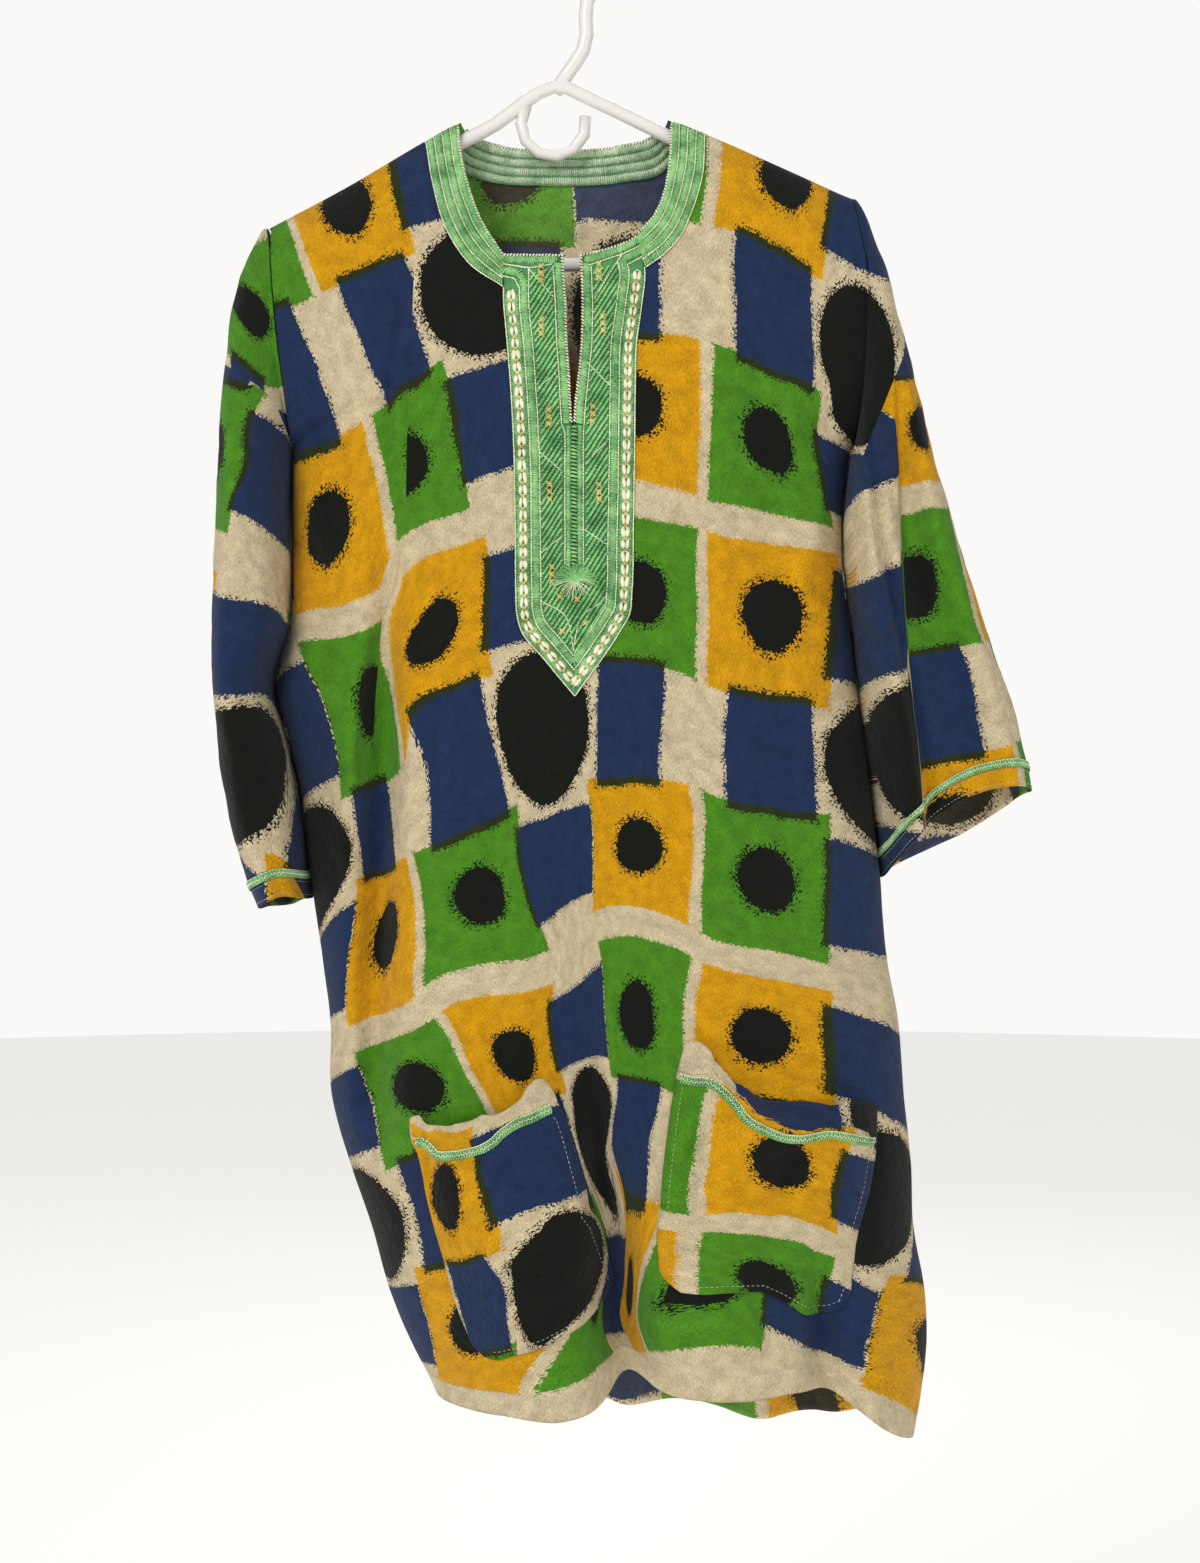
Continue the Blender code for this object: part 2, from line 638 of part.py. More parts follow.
def pocket_grid(side, tree, rows, across):
    # Rows run down from the mouth. The lower corners are canted and the belly stands off the body.
    pocket = dict(zip(POCKET_COLUMNS, POCKETS[side]))
    tilt, lean = math.radians(pocket["tilt"]), math.radians(pocket["lean"])
    half, height = pocket["width"] / 2, pocket["height"]
    grid = []
    for down in rows:
        taper = np.clip((down - height) / POCKET_CANT_HEIGHT + 1, 0, 1)
        low, high = pocket["cant_left"] * taper - half, half - pocket["cant_right"] * taper
        row = []
        for share in np.linspace(-1, 1, across + 1):
            aside = low + (high - low) * (share + 1) / 2
            level = down * (1 - pocket["skew"] * share) + pocket["sag"] * (1 - share**2) * (1 - down / height) ** 2
            x = pocket["mouth_x"] + aside * math.cos(tilt) + level * math.sin(lean)
            z = pocket["mouth_z"] + aside * math.sin(tilt) - level * math.cos(lean)
            swell = pocket["belly"] * (1 - share**4) * (1 - (down / height) ** 2.5)
            row.append(laid(tree, "front", x, z, POCKET_LAID + swell, POCKET_REACH))
        grid.append(row)
    return np.array(grid)


def make_pocket(side, tree):
    pocket = dict(zip(POCKET_COLUMNS, POCKETS[side]))
    straight = pocket["height"] - POCKET_CANT_HEIGHT
    rows = np.append(np.linspace(0, straight, 8), [straight + POCKET_CANT_HEIGHT / 2, pocket["height"]])
    grid = pocket_grid(side, tree, rows, POCKET_ACROSS)
    made = sheet("pocket_" + side, grid, (0.14, 0.16, 0.20), -1)
    wall(made, WALL, 1)
    own = faces_of(grid)
    trim = []
    for down in (TRIM_DROP, TRIM_DROP + TRIM_WIDTH):
        line = pocket_grid(side, tree, (down,), POCKET_ACROSS)[0]
        line[:, 0] += (pocket["mouth_x"] - line[:, 0]) * TRIM_SHORTER
        trim.append([laid(own, "front", x, z, WALL + TRIM_LAID, TRIM_REACH) for x, y, z in line])
    made = sheet("pocket_trim_" + side, np.array(trim), (0.12, 0.45, 0.14), -1)
    wall(made, BRAID * 0.7, 1)


def make_tuft(tree):
    # A small sewn root with a fan of cut threads, each drawn out of one face of the root.
    across, up = TUFT_STRANDS
    rows = []
    for level in np.linspace(0.5, -0.5, up + 1):
        row = []
        for share in np.linspace(-0.5, 0.5, across + 1):
            half = TUFT_SIZE[0] * math.sqrt(max(0.05, 1 - (2 * level) ** 2 * 0.8))
            x, z = TUFT_AT[0] + half * share, TUFT_AT[1] + TUFT_SIZE[1] * level
            row.append(laid(tree, "front", x, z, LAID + BRAID + LAID))
        rows.append(row)
    made = sheet("tuft", np.array(rows), (0.10, 0.42, 0.12), -1)
    wall(made, TUFT_ROOT, 1)
    graph = bpy.context.evaluated_depsgraph_get()
    mesh = bpy.data.meshes.new_from_object(made.evaluated_get(graph))
    made.modifiers.clear()
    form = bmesh.new()
    form.from_mesh(mesh)
    form.normal_update()
    outer = [face for face in form.faces if face.normal.y < -0.8]
    front = min(face.calc_center_median().y for face in outer)
    outer = [face for face in outer if face.calc_center_median().y < front + TUFT_ROOT * MM]
    bmesh.ops.inset_individual(form, faces=outer, thickness=TUFT_INSET * MM)
    for face in outer:
        centre = face.calc_center_median()
        spread_x, spread_z = centre.x - TUFT_AT[0] * MM, centre.z - TUFT_AT[1] * MM
        reach = Vector((1.15 * spread_x, -0.0045, 1.6 * spread_z)).normalized() * TUFT_REACH * MM
        extruded = bmesh.ops.extrude_discrete_faces(form, faces=[face])["faces"][0]
        bmesh.ops.translate(form, verts=extruded.verts, vec=reach)
        about = Matrix.Translation(-extruded.calc_center_median())
        bmesh.ops.scale(form, verts=extruded.verts, vec=(0.5, 0.5, 0.5), space=about)
    form.to_mesh(mesh)
    form.free()
    made.data = mesh


def collection(name):
    made = bpy.data.collections.new(name)
    bpy.context.scene.collection.children.link(made)
    return made


for old in list(bpy.data.objects):
    bpy.data.objects.remove(old)

shirt = collection("dashiki shirt")
cutters = collection("cutters")
cutters.hide_render = True

make_hanger()
front_tree = make_front()
back_tree = make_back()
for which in ("left", "right"):
    make_sleeve(which)
    make_cuff_trim(which)
    make_pocket(which, front_tree)
make_band("left", front_tree, BAND_LEFT)
make_band("right", front_tree, BAND_RIGHT)
make_back_band(back_tree)
make_placket(front_tree)
make_tuft(front_tree)
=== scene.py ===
import math

import bmesh
import bpy
import numpy as np
from mathutils import Matrix, Vector, noise
from mathutils.bvhtree import BVHTree


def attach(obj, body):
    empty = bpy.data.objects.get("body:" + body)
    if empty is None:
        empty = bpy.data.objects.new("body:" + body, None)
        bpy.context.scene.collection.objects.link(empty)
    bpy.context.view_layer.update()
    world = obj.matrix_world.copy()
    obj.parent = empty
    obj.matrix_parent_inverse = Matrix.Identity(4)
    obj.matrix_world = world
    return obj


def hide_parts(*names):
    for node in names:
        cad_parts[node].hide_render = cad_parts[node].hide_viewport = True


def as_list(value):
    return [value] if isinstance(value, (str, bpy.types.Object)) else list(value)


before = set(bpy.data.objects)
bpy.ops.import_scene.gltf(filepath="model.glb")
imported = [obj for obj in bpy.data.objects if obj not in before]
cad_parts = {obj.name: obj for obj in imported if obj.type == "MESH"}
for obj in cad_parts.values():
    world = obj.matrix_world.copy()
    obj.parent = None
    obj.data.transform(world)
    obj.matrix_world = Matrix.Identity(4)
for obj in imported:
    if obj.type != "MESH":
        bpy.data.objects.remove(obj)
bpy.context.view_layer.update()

mm = 0.001
view = {"x": 0.0175, "z": -0.5926, "distance": 1.65, "height": 1.0941}
eye = np.array([view["x"], -view["distance"], view["z"]]) / mm
way = {"left": -1, "right": 1, "front": -1, "back": 1}

# The garment's shape in millimetres, the same rows as its solids have: x to the right as the
# front is seen, y to the back, z up from where the hook bears.
bodyColumns = ("z", "left", "right", "front", "back", "seam")
bodyRows = [
    (-1060, -92, 235, 104, 110, 22), (-1016, -99, 243, 103, 108, 24), (-985, -115, 247, 101, 106, 26),
    (-950, -130, 246, 98, 104, 26), (-904, -143, 238, 95, 101, 24), (-857, -159, 236, 91, 98, 22),
    (-812, -171, 231, 88, 94, 20), (-760, -172, 227, 83, 89, 18), (-717, -177, 219, 79, 84, 15),
    (-648, -187, 213, 73, 77, 12), (-601, -192, 207, 69, 72, 10), (-560, -201, 202, 66, 68, 8),
    (-525, -209, 197, 64, 64, 6), (-498, -201, 194, 62, 61, 5), (-440, -197, 187, 58, 56, 3),
    (-400, -197, 187, 54, 51, 1), (-360, -197, 193, 50, 46, 0), (-330, -199, 203, 46, 42, 0),
    (-300, -202, 207, 42, 38, 0), (-260, -206, 204, 35, 31, 0), (-220, -210, 197, 28, 25, 0),
    (-180, -213, 192.5, 19, 18, 0), (-120, -213.5, 192.5, 9, 11, 0),
]
ridgeRows = [
    (-215, -206.9), (-160, -177.6), (-101, -143), (-80, -131.5), (0, -124), (66, -130), (91, -140),
    (150, -166), (196, -187),
]
hemRows = [  # across, front, back
    (0.0, -1016, -1020), (0.08, -1014, -1026), (0.16, -1012, -1034), (0.28, -1012, -1042),
    (0.36, -1004, -1046), (0.41, -990, -1050), (0.47, -995, -1054), (0.62, -998, -1060),
    (0.76, -997, -1060), (0.84, -1010, -1056), (0.92, -1030, -1052), (1.0, -1047, -1049),
]
frontFolds = [  # topZ, footZ, topX, footX, rise, halfWidth, endZ
    (-330, -640, -122, -133, -34, 13, -900), (-380, -620, -150, -158, 9, 17, -860),
    (-720, -985, 2, 34, -46, 19, -1200), (-700, -1000, -30, -34, 15, 44, -1200),
    (-560, -690, -20, -14, -8, 22, -860), (-880, -1000, 150, 172, -30, 13, -1200),
    (-820, -1020, 190, 205, 14, 24, -1200), (-700, -900, 92, 100, 10, 40, -1200),
    (-250, -330, 120, 128, -7, 18, -560), (-240, -330, -95, -92, -7, 16, -520),
]
backFolds = [
    (-420, -900, -95, -60, -30, 20, -1200), (-560, -960, 10, 30, -36, 22, -1200),
    (-380, -880, 115, 130, -28, 20, -1200), (-640, -980, -20, -12, 14, 26, -1200),
    (-520, -940, 75, 82, 16, 28, -1200), (-760, -1000, 180, 190, -20, 15, -1200),
    (-300, -420, -40, -30, -9, 26, -620),
]
shoulder = {"left": -213.5, "right": 192.5, "round": 60, "armholeDepth": 38, "armpit": -360}
sleeveColumns = ("outerX", "outerZ", "innerX", "innerZ", "halfDepth", "middleY")
sleeveRows = {
    "left": [
        (-221, -214, -199, -363, 41, 0), (-231, -236, -200, -374, 48, 0), (-239, -272, -201, -392, 57, 0),
        (-243.5, -322, -201.5, -416, 66, 0), (-246.5, -384, -202, -444, 72, 0),
        (-248.5, -445, -204, -478, 76, 0), (-249.5, -510, -213, -524, 78, 1),
        (-246, -568, -202, -572, 78, 2), (-239, -618, -193, -620, 76, 3), (-230, -652, -190, -646, 75, 3),
        (-218, -684, -187, -668, 74, 4),
    ],
    "right": [
        (203, -200, 197, -364, 42, 0), (213, -228, 197, -374, 50, 0), (222, -258, 196, -388, 57, 0),
        (234, -306, 194, -412, 64, 0), (250, -368, 194, -444, 68, 0), (268, -432, 198, -482, 70, 2),
        (288, -494, 204, -524, 69, 4), (303, -540, 209, -566, 67, 6), (313, -578, 214, -608, 65, 8),
        (320, -606, 219, -646, 64, 10),
    ],
}
cuffLift = {"left": (4, -4, 3, -6), "right": (22, -10, 6, -14)}  # front, back, outer, inner
sleeveFolds = {  # turn, rise, halfTurn, fromShare
    "left": [(0.30, -5, 0.05, 0.25), (0.72, -7, 0.06, 0.2)],
    "right": [(0.24, -26, 0.065, 0.12), (0.345, 9, 0.055, 0.1), (0.70, -12, 0.07, 0.3),
              (0.315, -17, 0.02, 0.12)],
}


def column(rows, columns, name):
    return np.array([row[columns.index(name)] for row in rows], float)


def smooth(at, knots, values):
    slopes = np.gradient(values, knots)
    at = np.clip(np.asarray(at, float), knots[0], knots[-1])
    low = np.clip(np.searchsorted(knots, at, side="right") - 1, 0, len(knots) - 2)
    span = knots[low + 1] - knots[low]
    t = (at - knots[low]) / span
    rise = (1 + 2 * t) * (1 - t) ** 2 * values[low] + t**2 * (3 - 2 * t) * values[low + 1]
    return rise + span * (t * (1 - t) ** 2 * slopes[low] - t**2 * (1 - t) * slopes[low + 1])


def ease(t):
    t = np.clip(t, 0, 1)
    return t * t * (3 - 2 * t)


def bump(x, middle, halfWidth):
    return np.exp(-(((x - middle) / halfWidth) ** 2))


def lengths(points):
    # How far along a route each of its points is.
    return np.concatenate([[0], np.cumsum(np.linalg.norm(np.diff(points, axis=0), axis=1))])


def body(name, z):
    return smooth(z, column(bodyRows, bodyColumns, "z"), column(bodyRows, bodyColumns, name))


def ridge(x):
    return smooth(x, *np.array(ridgeRows, float).T)


def hem(side, across):
    places, *heights = np.array(hemRows, float).T
    return smooth(across, places, heights[0 if side == "front" else 1])


def acrossBody(z, across):
    return body("left", z) + (body("right", z) - body("left", z)) * across


def ridgeAbove(across):
    return ridge(shoulder["left"] + (shoulder["right"] - shoulder["left"]) * across)


def armhole(side, drop):
    half = (float(ridge(shoulder[side])) - shoulder["armpit"]) / 2
    return shoulder["armholeDepth"] * np.sqrt(np.clip(1 - (drop / half - 1) ** 2, 0, 1))


def foldRise(rows, x, z):
    total = np.zeros_like(x)
    for topZ, footZ, topX, footX, rise, halfWidth, endZ in rows:
        share = (topZ - z) / (topZ - footZ)
        middle = topX + (footX - topX) * np.clip(share, 0, 1.4)
        grown = ease(share) * ease((z - endZ) / (0.5 * (footZ - endZ)))
        wide = halfWidth * (0.6 + 0.4 * ease(share))
        total += rise * grown * bump(x, middle, wide)
    return total


# Creases in the cloth that the solids leave out: a soft trough (-) or ridge (+) from one end to
# the other, its height in the middle and its half width.
frontCreases = [  # fromX, fromZ, toX, toZ, rise, halfWidth
    (-196, -235, -150, -330, -2.2, 7), (-205, -300, -160, -350, 1.6, 9), (-186, -345, -120, -395, -2.6, 8),
    (-190, -372, -140, -470, 2.4, 9), (-150, -215, -128, -320, 1.8, 10), (-112, -200, -105, -330, -1.8, 8),
    (-88, -270, -80, -430, 1.8, 9), (-70, -330, -66, -470, -1.5, 7), (110, -180, 122, -330, 1.6, 10),
    (150, -200, 158, -330, -1.8, 9), (196, -250, 150, -330, 1.8, 9), (190, -330, 130, -420, -2.6, 9),
    (184, -372, 150, -520, 2.2, 9), (90, -300, 84, -470, -1.3, 8), (70, -420, 66, -640, 1.6, 9),
    (-60, -480, -74, -700, 2.2, 10), (-96, -500, -102, -760, 1.8, 8), (-36, -560, -44, -820, -2.4, 9),
    (-4, -560, -8, -760, 2.4, 9), (22, -600, 30, -900, -2.2, 8), (60, -690, 70, -900, -1.8, 10),
    (110, -560, 118, -800, 1.6, 11), (148, -480, 160, -700, -2.4, 10), (176, -560, 190, -800, 2.2, 9),
    (-168, -560, -150, -700, -2.2, 8), (-150, -740, -120, -900, 2.4, 10), (-60, -780, -52, -830, -1.5, 9),
    (200, -820, 214, -1000, -2.2, 9), (90, -960, 96, -1000, 1.6, 9), (-80, -900, -66, -1005, 1.6, 9),
    (20, -760, 16, -980, 3.0, 8), (52, -880, 60, -1000, 2.4, 9), (126, -860, 140, -990, -1.8, 9),
    (-111, -235, -118, -438, -2.2, 3.5), (-104, -235, -111, -438, 1.7, 5), (-135, -470, -145, -640, 1.7, 5),
    (-128, -470, -138, -640, -2.2, 3.5),
]
backCreases = [
    (-180, -230, -130, -340, -2.2, 9), (170, -220, 120, -330, -2.2, 9), (-185, -370, -120, -430, 2.2, 9),
    (176, -370, 120, -440, 2.4, 9), (-60, -200, -56, -420, 1.6, 12), (40, -190, 46, -430, -1.6, 11),
    (-140, -460, -130, -760, 2.2, 10), (-20, -420, -26, -700, -2.0, 10), (60, -460, 66, -780, 2.0, 10),
    (150, -460, 168, -760, -2.2, 10), (-100, -700, -84, -980, 2.2, 9), (100, -700, 112, -1010, -2.2, 9),
    (0, -240, 4, -400, 1.3, 10), (200, -700, 206, -1000, 2.0, 10), (-60, -240, -100, -360, -1.4, 9),
]


def creaseRise(rows, x, z):
    total = np.zeros_like(x)
    for fromX, fromZ, toX, toZ, rise, halfWidth in rows:
        runX, runZ = toX - fromX, toZ - fromZ
        length = math.hypot(runX, runZ)
        along = ((x - fromX) * runX + (z - fromZ) * runZ) / length**2
        bow = 0.06 * length * np.sin(np.pi * np.clip(along, 0, 1))
        aside = ((x - fromX) * runZ - (z - fromZ) * runX) / length - bow
        total += 1.5 * rise * ease(along / 0.3) * ease((1 - along) / 0.35) * bump(aside, 0, halfWidth)
    return total


def crumple(points, waves):
    # Small unevenness of washed cloth: each wave's rise, size and seed.
    return sum(rise * np.array([noise.noise(Vector((x / size, y / size + seed, z / size)))
                                for x, y, z in points]) for rise, size, seed in waves)


def panelY(side, x, z, across):
    folds, creases = (frontFolds, frontCreases) if side == "front" else (backFolds, backCreases)
    sign = way[side]
    crown = (1 - np.abs(2 * across - 1) ** 2.6) ** (1 / 2.6)
    drop = np.maximum(ridgeAbove(across) - z, 0)
    edge = np.where(across < 0.5, armhole("left", drop), armhole("right", drop))
    fall = np.clip(drop / shoulder["round"], 0, 1)
    away = body(side, z) * np.sqrt(1 - (1 - fall) ** 2)
    seam = body("seam", z)
    rest = edge + sign * seam + (away - edge - sign * seam) * crown
    rise = foldRise(folds, x, z) * crown**1.5
    rise = rise + creaseRise(creases, x, z) * ease(crown * 2) * ease(drop / 30)
    return sign * (rest + 0.3 + 0.7 * (1 - crown) + rise)


def panelGrid(side, drops, count):
    # Rows of even steps across the cloth, and how far each point is from the middle along its row.
    across = (1 - np.cos(np.linspace(0, math.pi, 1201))) / 2
    top = ridgeAbove(across)
    points, arcs = [], []
    for index, drop in enumerate(drops):
        z = top + (hem(side, across) - top) * drop
        x = acrossBody(z, across)
        y = panelY(side, x, z, across)
        if drop == 0:
            x = shoulder["left"] + (shoulder["right"] - shoulder["left"]) * across
            y = np.full_like(x, way[side] * (0.15 + (2.2 if index else 0)))
        run = lengths(np.column_stack([x, y, z]))
        even = np.linspace(0, run[-1], count + 1)
        points.append(np.column_stack([np.interp(even, run, v) for v in (x, y, z)]))
        arcs.append(even - np.interp(view["x"] / mm, x, run))
    return np.array(points), np.array(arcs)


def thinPlate(marks, smoothing=0.4):
    # A smooth map from places on the cloth to the print's own millimetres, through the given marks.
    marks = np.array(marks, float)
    places, prints = marks[:, 2:4], marks[:, 0:2]
    gap = np.linalg.norm(places[:, None] - places[None], axis=2)
    kernel = np.where(gap > 0, gap**2 * np.log(np.maximum(gap, 1e-9)), 0)
    count = len(marks)
    plane = np.column_stack([np.ones(count), places])
    system = np.zeros((count + 3, count + 3))
    system[:count, :count] = kernel + smoothing * 1e3 * np.eye(count)
    system[:count, count:] = plane
    system[count:, :count] = plane.T
    weights = np.linalg.solve(system, np.vstack([prints, np.zeros((3, 2))]))

    def place(at):
        out = np.column_stack([np.ones(len(at)), at]) @ weights[count:]
        for index in range(count):
            far = np.linalg.norm(at - places[index], axis=1)
            out += np.where(far > 0, far**2 * np.log(np.maximum(far, 1e-9)), 0)[:, None] * weights[index]
        return out

    return place


def onGrid(place, grid):
    return place(grid.reshape(-1, 2)).reshape(grid.shape)


# Where the print's marks fall on the front: the print's own place, then x and z on the garment.
frontMarks = [
    (90, 0, 85, -284), (90, 100, 85, -390), (90, 127, 84, -416), (90, 225, 83, -518), (0, 305, 9, -593),
    (90, 305, 78, -593), (45, 355, 45.5, -637), (0, 405, 12, -684), (90, 405, 78, -693), (0, 432, 15, -701),
    (90, 432, 80, -710), (45, 481, 40, -756), (90, 530, 76, -815), (100, 0, 99, -288), (192, 0, 173.5, -313),
    (146, 50, 135, -351), (100, 100, 93, -399), (192, 100, 180, -415), (100, 127, 93, -418),
    (194, 127, 184, -433), (146, 177, 136.5, -474), (100, 225, 94, -528), (192, 225, 175, -541),
    (100, 305, 92, -603), (192, 305, 178, -616), (146, 355, 135, -661), (100, 405, 90, -710),
    (192, 405, 177, -722), (146, 481, 129.5, -768), (100, 432, 91, -716), (192, 432, 177, -738),
    (146, -128, 150.5, -170), (116, -83, 114, -205), (237, -40, 199, -301), (237, 265, 206, -588),
    (237, 570, 220, -889), (190.5, -40, 173.5, -292), (237.5, -86, 200, -248),
    (204, -7, 178, -336), (-47.5, -40, -66.5, -248.5), (-47.5, 265, -22, -554), (-47.5, 570, 8, -815),
    (-97, 16, -88, -311.5), (-97, 141, -64, -439), (-185, 0, -143.5, -337), (-93, 0, -89.5, -299),
    (-93, 100, -75.5, -402), (-185, 100, -126, -427), (-185, 127, -122, -449), (-91, 127, -64, -420),
    (-139, 177, -103, -492), (-185, 225, -120, -544), (-91, 225, -58, -516), (-185, 305, -115, -640),
    (-93, 305, -40, -610), (-139, 355, -67, -671), (-93, 405, -16, -710), (-185, 405, -106, -735),
    (-185, 432, -94, -748), (-91, 432, -15, -735), (-139, 481, -47, -784), (-91, 530, 3, -822),
    (-285, 0, -203, -369), (-195, 0, -149, -343), (-240, 50, -174, -416), (-195, 100, -133, -458),
    (-285, 100, -196, -478), (-285, 127, -194, -493), (-195, 127, -124.5, -465), (-240, 177, -140, -535),
    (-285, 225, -164, -605), (-195, 225, -119, -584), (-285, 305, -152, -660), (-195, 305, -117, -647),
    (-240, 355, -129.5, -696), (-285, 405, -159, -765), (-195, 405, -114, -748), (-240, 481, -108, -803),
    (-285, 530, -131, -866), (-139, -128, -162, -189), (-332, 265, -182, -655), (-332, 570, -140, -903),
    (-285, 432, -154, -781), (-195, 432, -96, -758), (2, 610, 22, -850), (18, 610, 36, -890),
    (90, 612, 56, -892), (90, 690, 40, -976),
    (66, 640, 36, -929), (100, 658, 57, -937), (100, 710, 50, -991), (192, 710, 130, -990),
    (146, 682, 99, -960), (192, 679, 133, -958), (189, 694, 132, -970), (283, 630, 213, -953),
    (283, 694, 201, -1002), (285, 612, 214, -944), (285, 708, 200, -1014), (330, 660, 250, -990),
    (10, 530, 31, -803), (10, 612, 38, -888), (-285, 612, -113, -934), (-285, 708, -94, -1011),
    (-195, 706, -41, -1018), (-185, 708, -29, -1020), (-93, 617, 18, -897), (-115, 640, 22, -929),
    (-95, 640, 31, -929), (-115, 690, 17, -976), (-100, 708, 33, -990), (-287, 694, -97, -1001),
]


def hexColour(code):
    parts = [int(code[i:i + 2], 16) / 255 for i in (1, 3, 5)]
    return [p / 12.92 if p <= 0.04045 else ((p + 0.055) / 1.055) ** 2.4 for p in parts] + [1.0]


def wire(tree, node, inputs):
    for socket, value in inputs.items():
        if isinstance(value, bpy.types.NodeSocket):
            tree.links.new(value, node.inputs[socket])
        else:
            node.inputs[socket].default_value = value


def addNode(tree, kind, inputs=None, out=0, **settings):
    # A node with its settings and links, given as one of its outputs, or as itself where out is None.
    node = tree.nodes.new(kind if "Node" in kind else "ShaderNode" + kind)
    for name, value in settings.items():
        setattr(node, name, value)
    wire(tree, node, inputs or {})
    return node if out is None else node.outputs[out]


def newMaterial(name):
    made = bpy.data.materials.new(name)
    made.use_nodes = True
    return made, made.node_tree, made.node_tree.nodes["Principled BSDF"]


# The print's repeat in millimetres: two rows of squares with dots, then a row of bars and a disc.
printChart = {
    "period": (285, 305),
    "yellow": [("box", 0, 90, 0, 100), ("box", 100, 194, 127, 225)],
    "green": [("box", 100, 192, 0, 100), ("box", 0, 90, 127, 225)],
    "navy": [("box", 189, 283, 16, 84), ("box", 189, 283, 141, 207), ("box", 10, 66, 222, 309),
             ("box", 116, 182, 222, 309)],
    "black": [("disc", 237.5, 265, 47), ("disc", 45, 50, 20.5), ("disc", 146, 50, 20.5),
              ("disc", 45, 177, 20.5), ("disc", 147, 177, 20.5)],
    "speckle": {"yellow": 2.8, "green": 2.8, "navy": 4.4, "black": 7.5}, "soft": 0.25,
    "ground": "#CDBC99", "yellowInk": "#D09606", "greenInk": "#4A861A", "navyInk": "#1D2F52",
    "oliveInk": "#272E0E", "blackInk": "#0E110A", "reverse": "#C9BC9C",
}


def inkReach(tree, axes, mark):
    # How far each place is outside the nearest copy of one printed box or disc.
    shape, *sizes = mark
    x, z = ((sizes[0] + sizes[1]) / 2, (sizes[2] + sizes[3]) / 2) if shape == "box" else sizes[:2]
    away = []
    for axis, middle in ((0, x), (1, z)):
        period = printChart["period"][axis]
        shift = addNode(tree, "Math", {0: axes.outputs[axis], 1: middle}, operation="SUBTRACT")
        away.append(addNode(tree, "Math", {0: shift, 1: period / 2, 2: -period / 2}, operation="WRAP"))
    if shape == "disc":
        flat = addNode(tree, "CombineXYZ", {0: away[0], 1: away[1]})
        far = addNode(tree, "VectorMath", {0: flat}, 1, operation="LENGTH")
        return addNode(tree, "Math", {0: far, 1: float(sizes[2])}, operation="SUBTRACT")
    sides = []
    for axis in (0, 1):
        size = addNode(tree, "Math", {0: away[axis]}, operation="ABSOLUTE")
        half = (sizes[1 + 2 * axis] - sizes[2 * axis]) / 2
        sides.append(addNode(tree, "Math", {0: size, 1: half}, operation="SUBTRACT"))
    return addNode(tree, "Math", {0: sides[0], 1: sides[1]}, operation="MAXIMUM")


def inkMask(tree, axes, grain, ink):
    # Where one ink lies, its edge broken by the spray.
    nearest, *others = [inkReach(tree, axes, mark) for mark in printChart[ink]]
    for reach in others:
        nearest = addNode(tree, "Math", {0: nearest, 1: reach}, operation="MINIMUM")
    speckle, soft = -printChart["speckle"][ink], printChart["soft"]
    rough = addNode(tree, "Math", {0: grain, 1: speckle, 2: nearest}, operation="MULTIPLY_ADD")
    return addNode(tree, "MapRange", {0: rough, 1: soft, 2: -soft, 3: 0.0, 4: 1.0},
                   interpolation_type="SMOOTHSTEP")


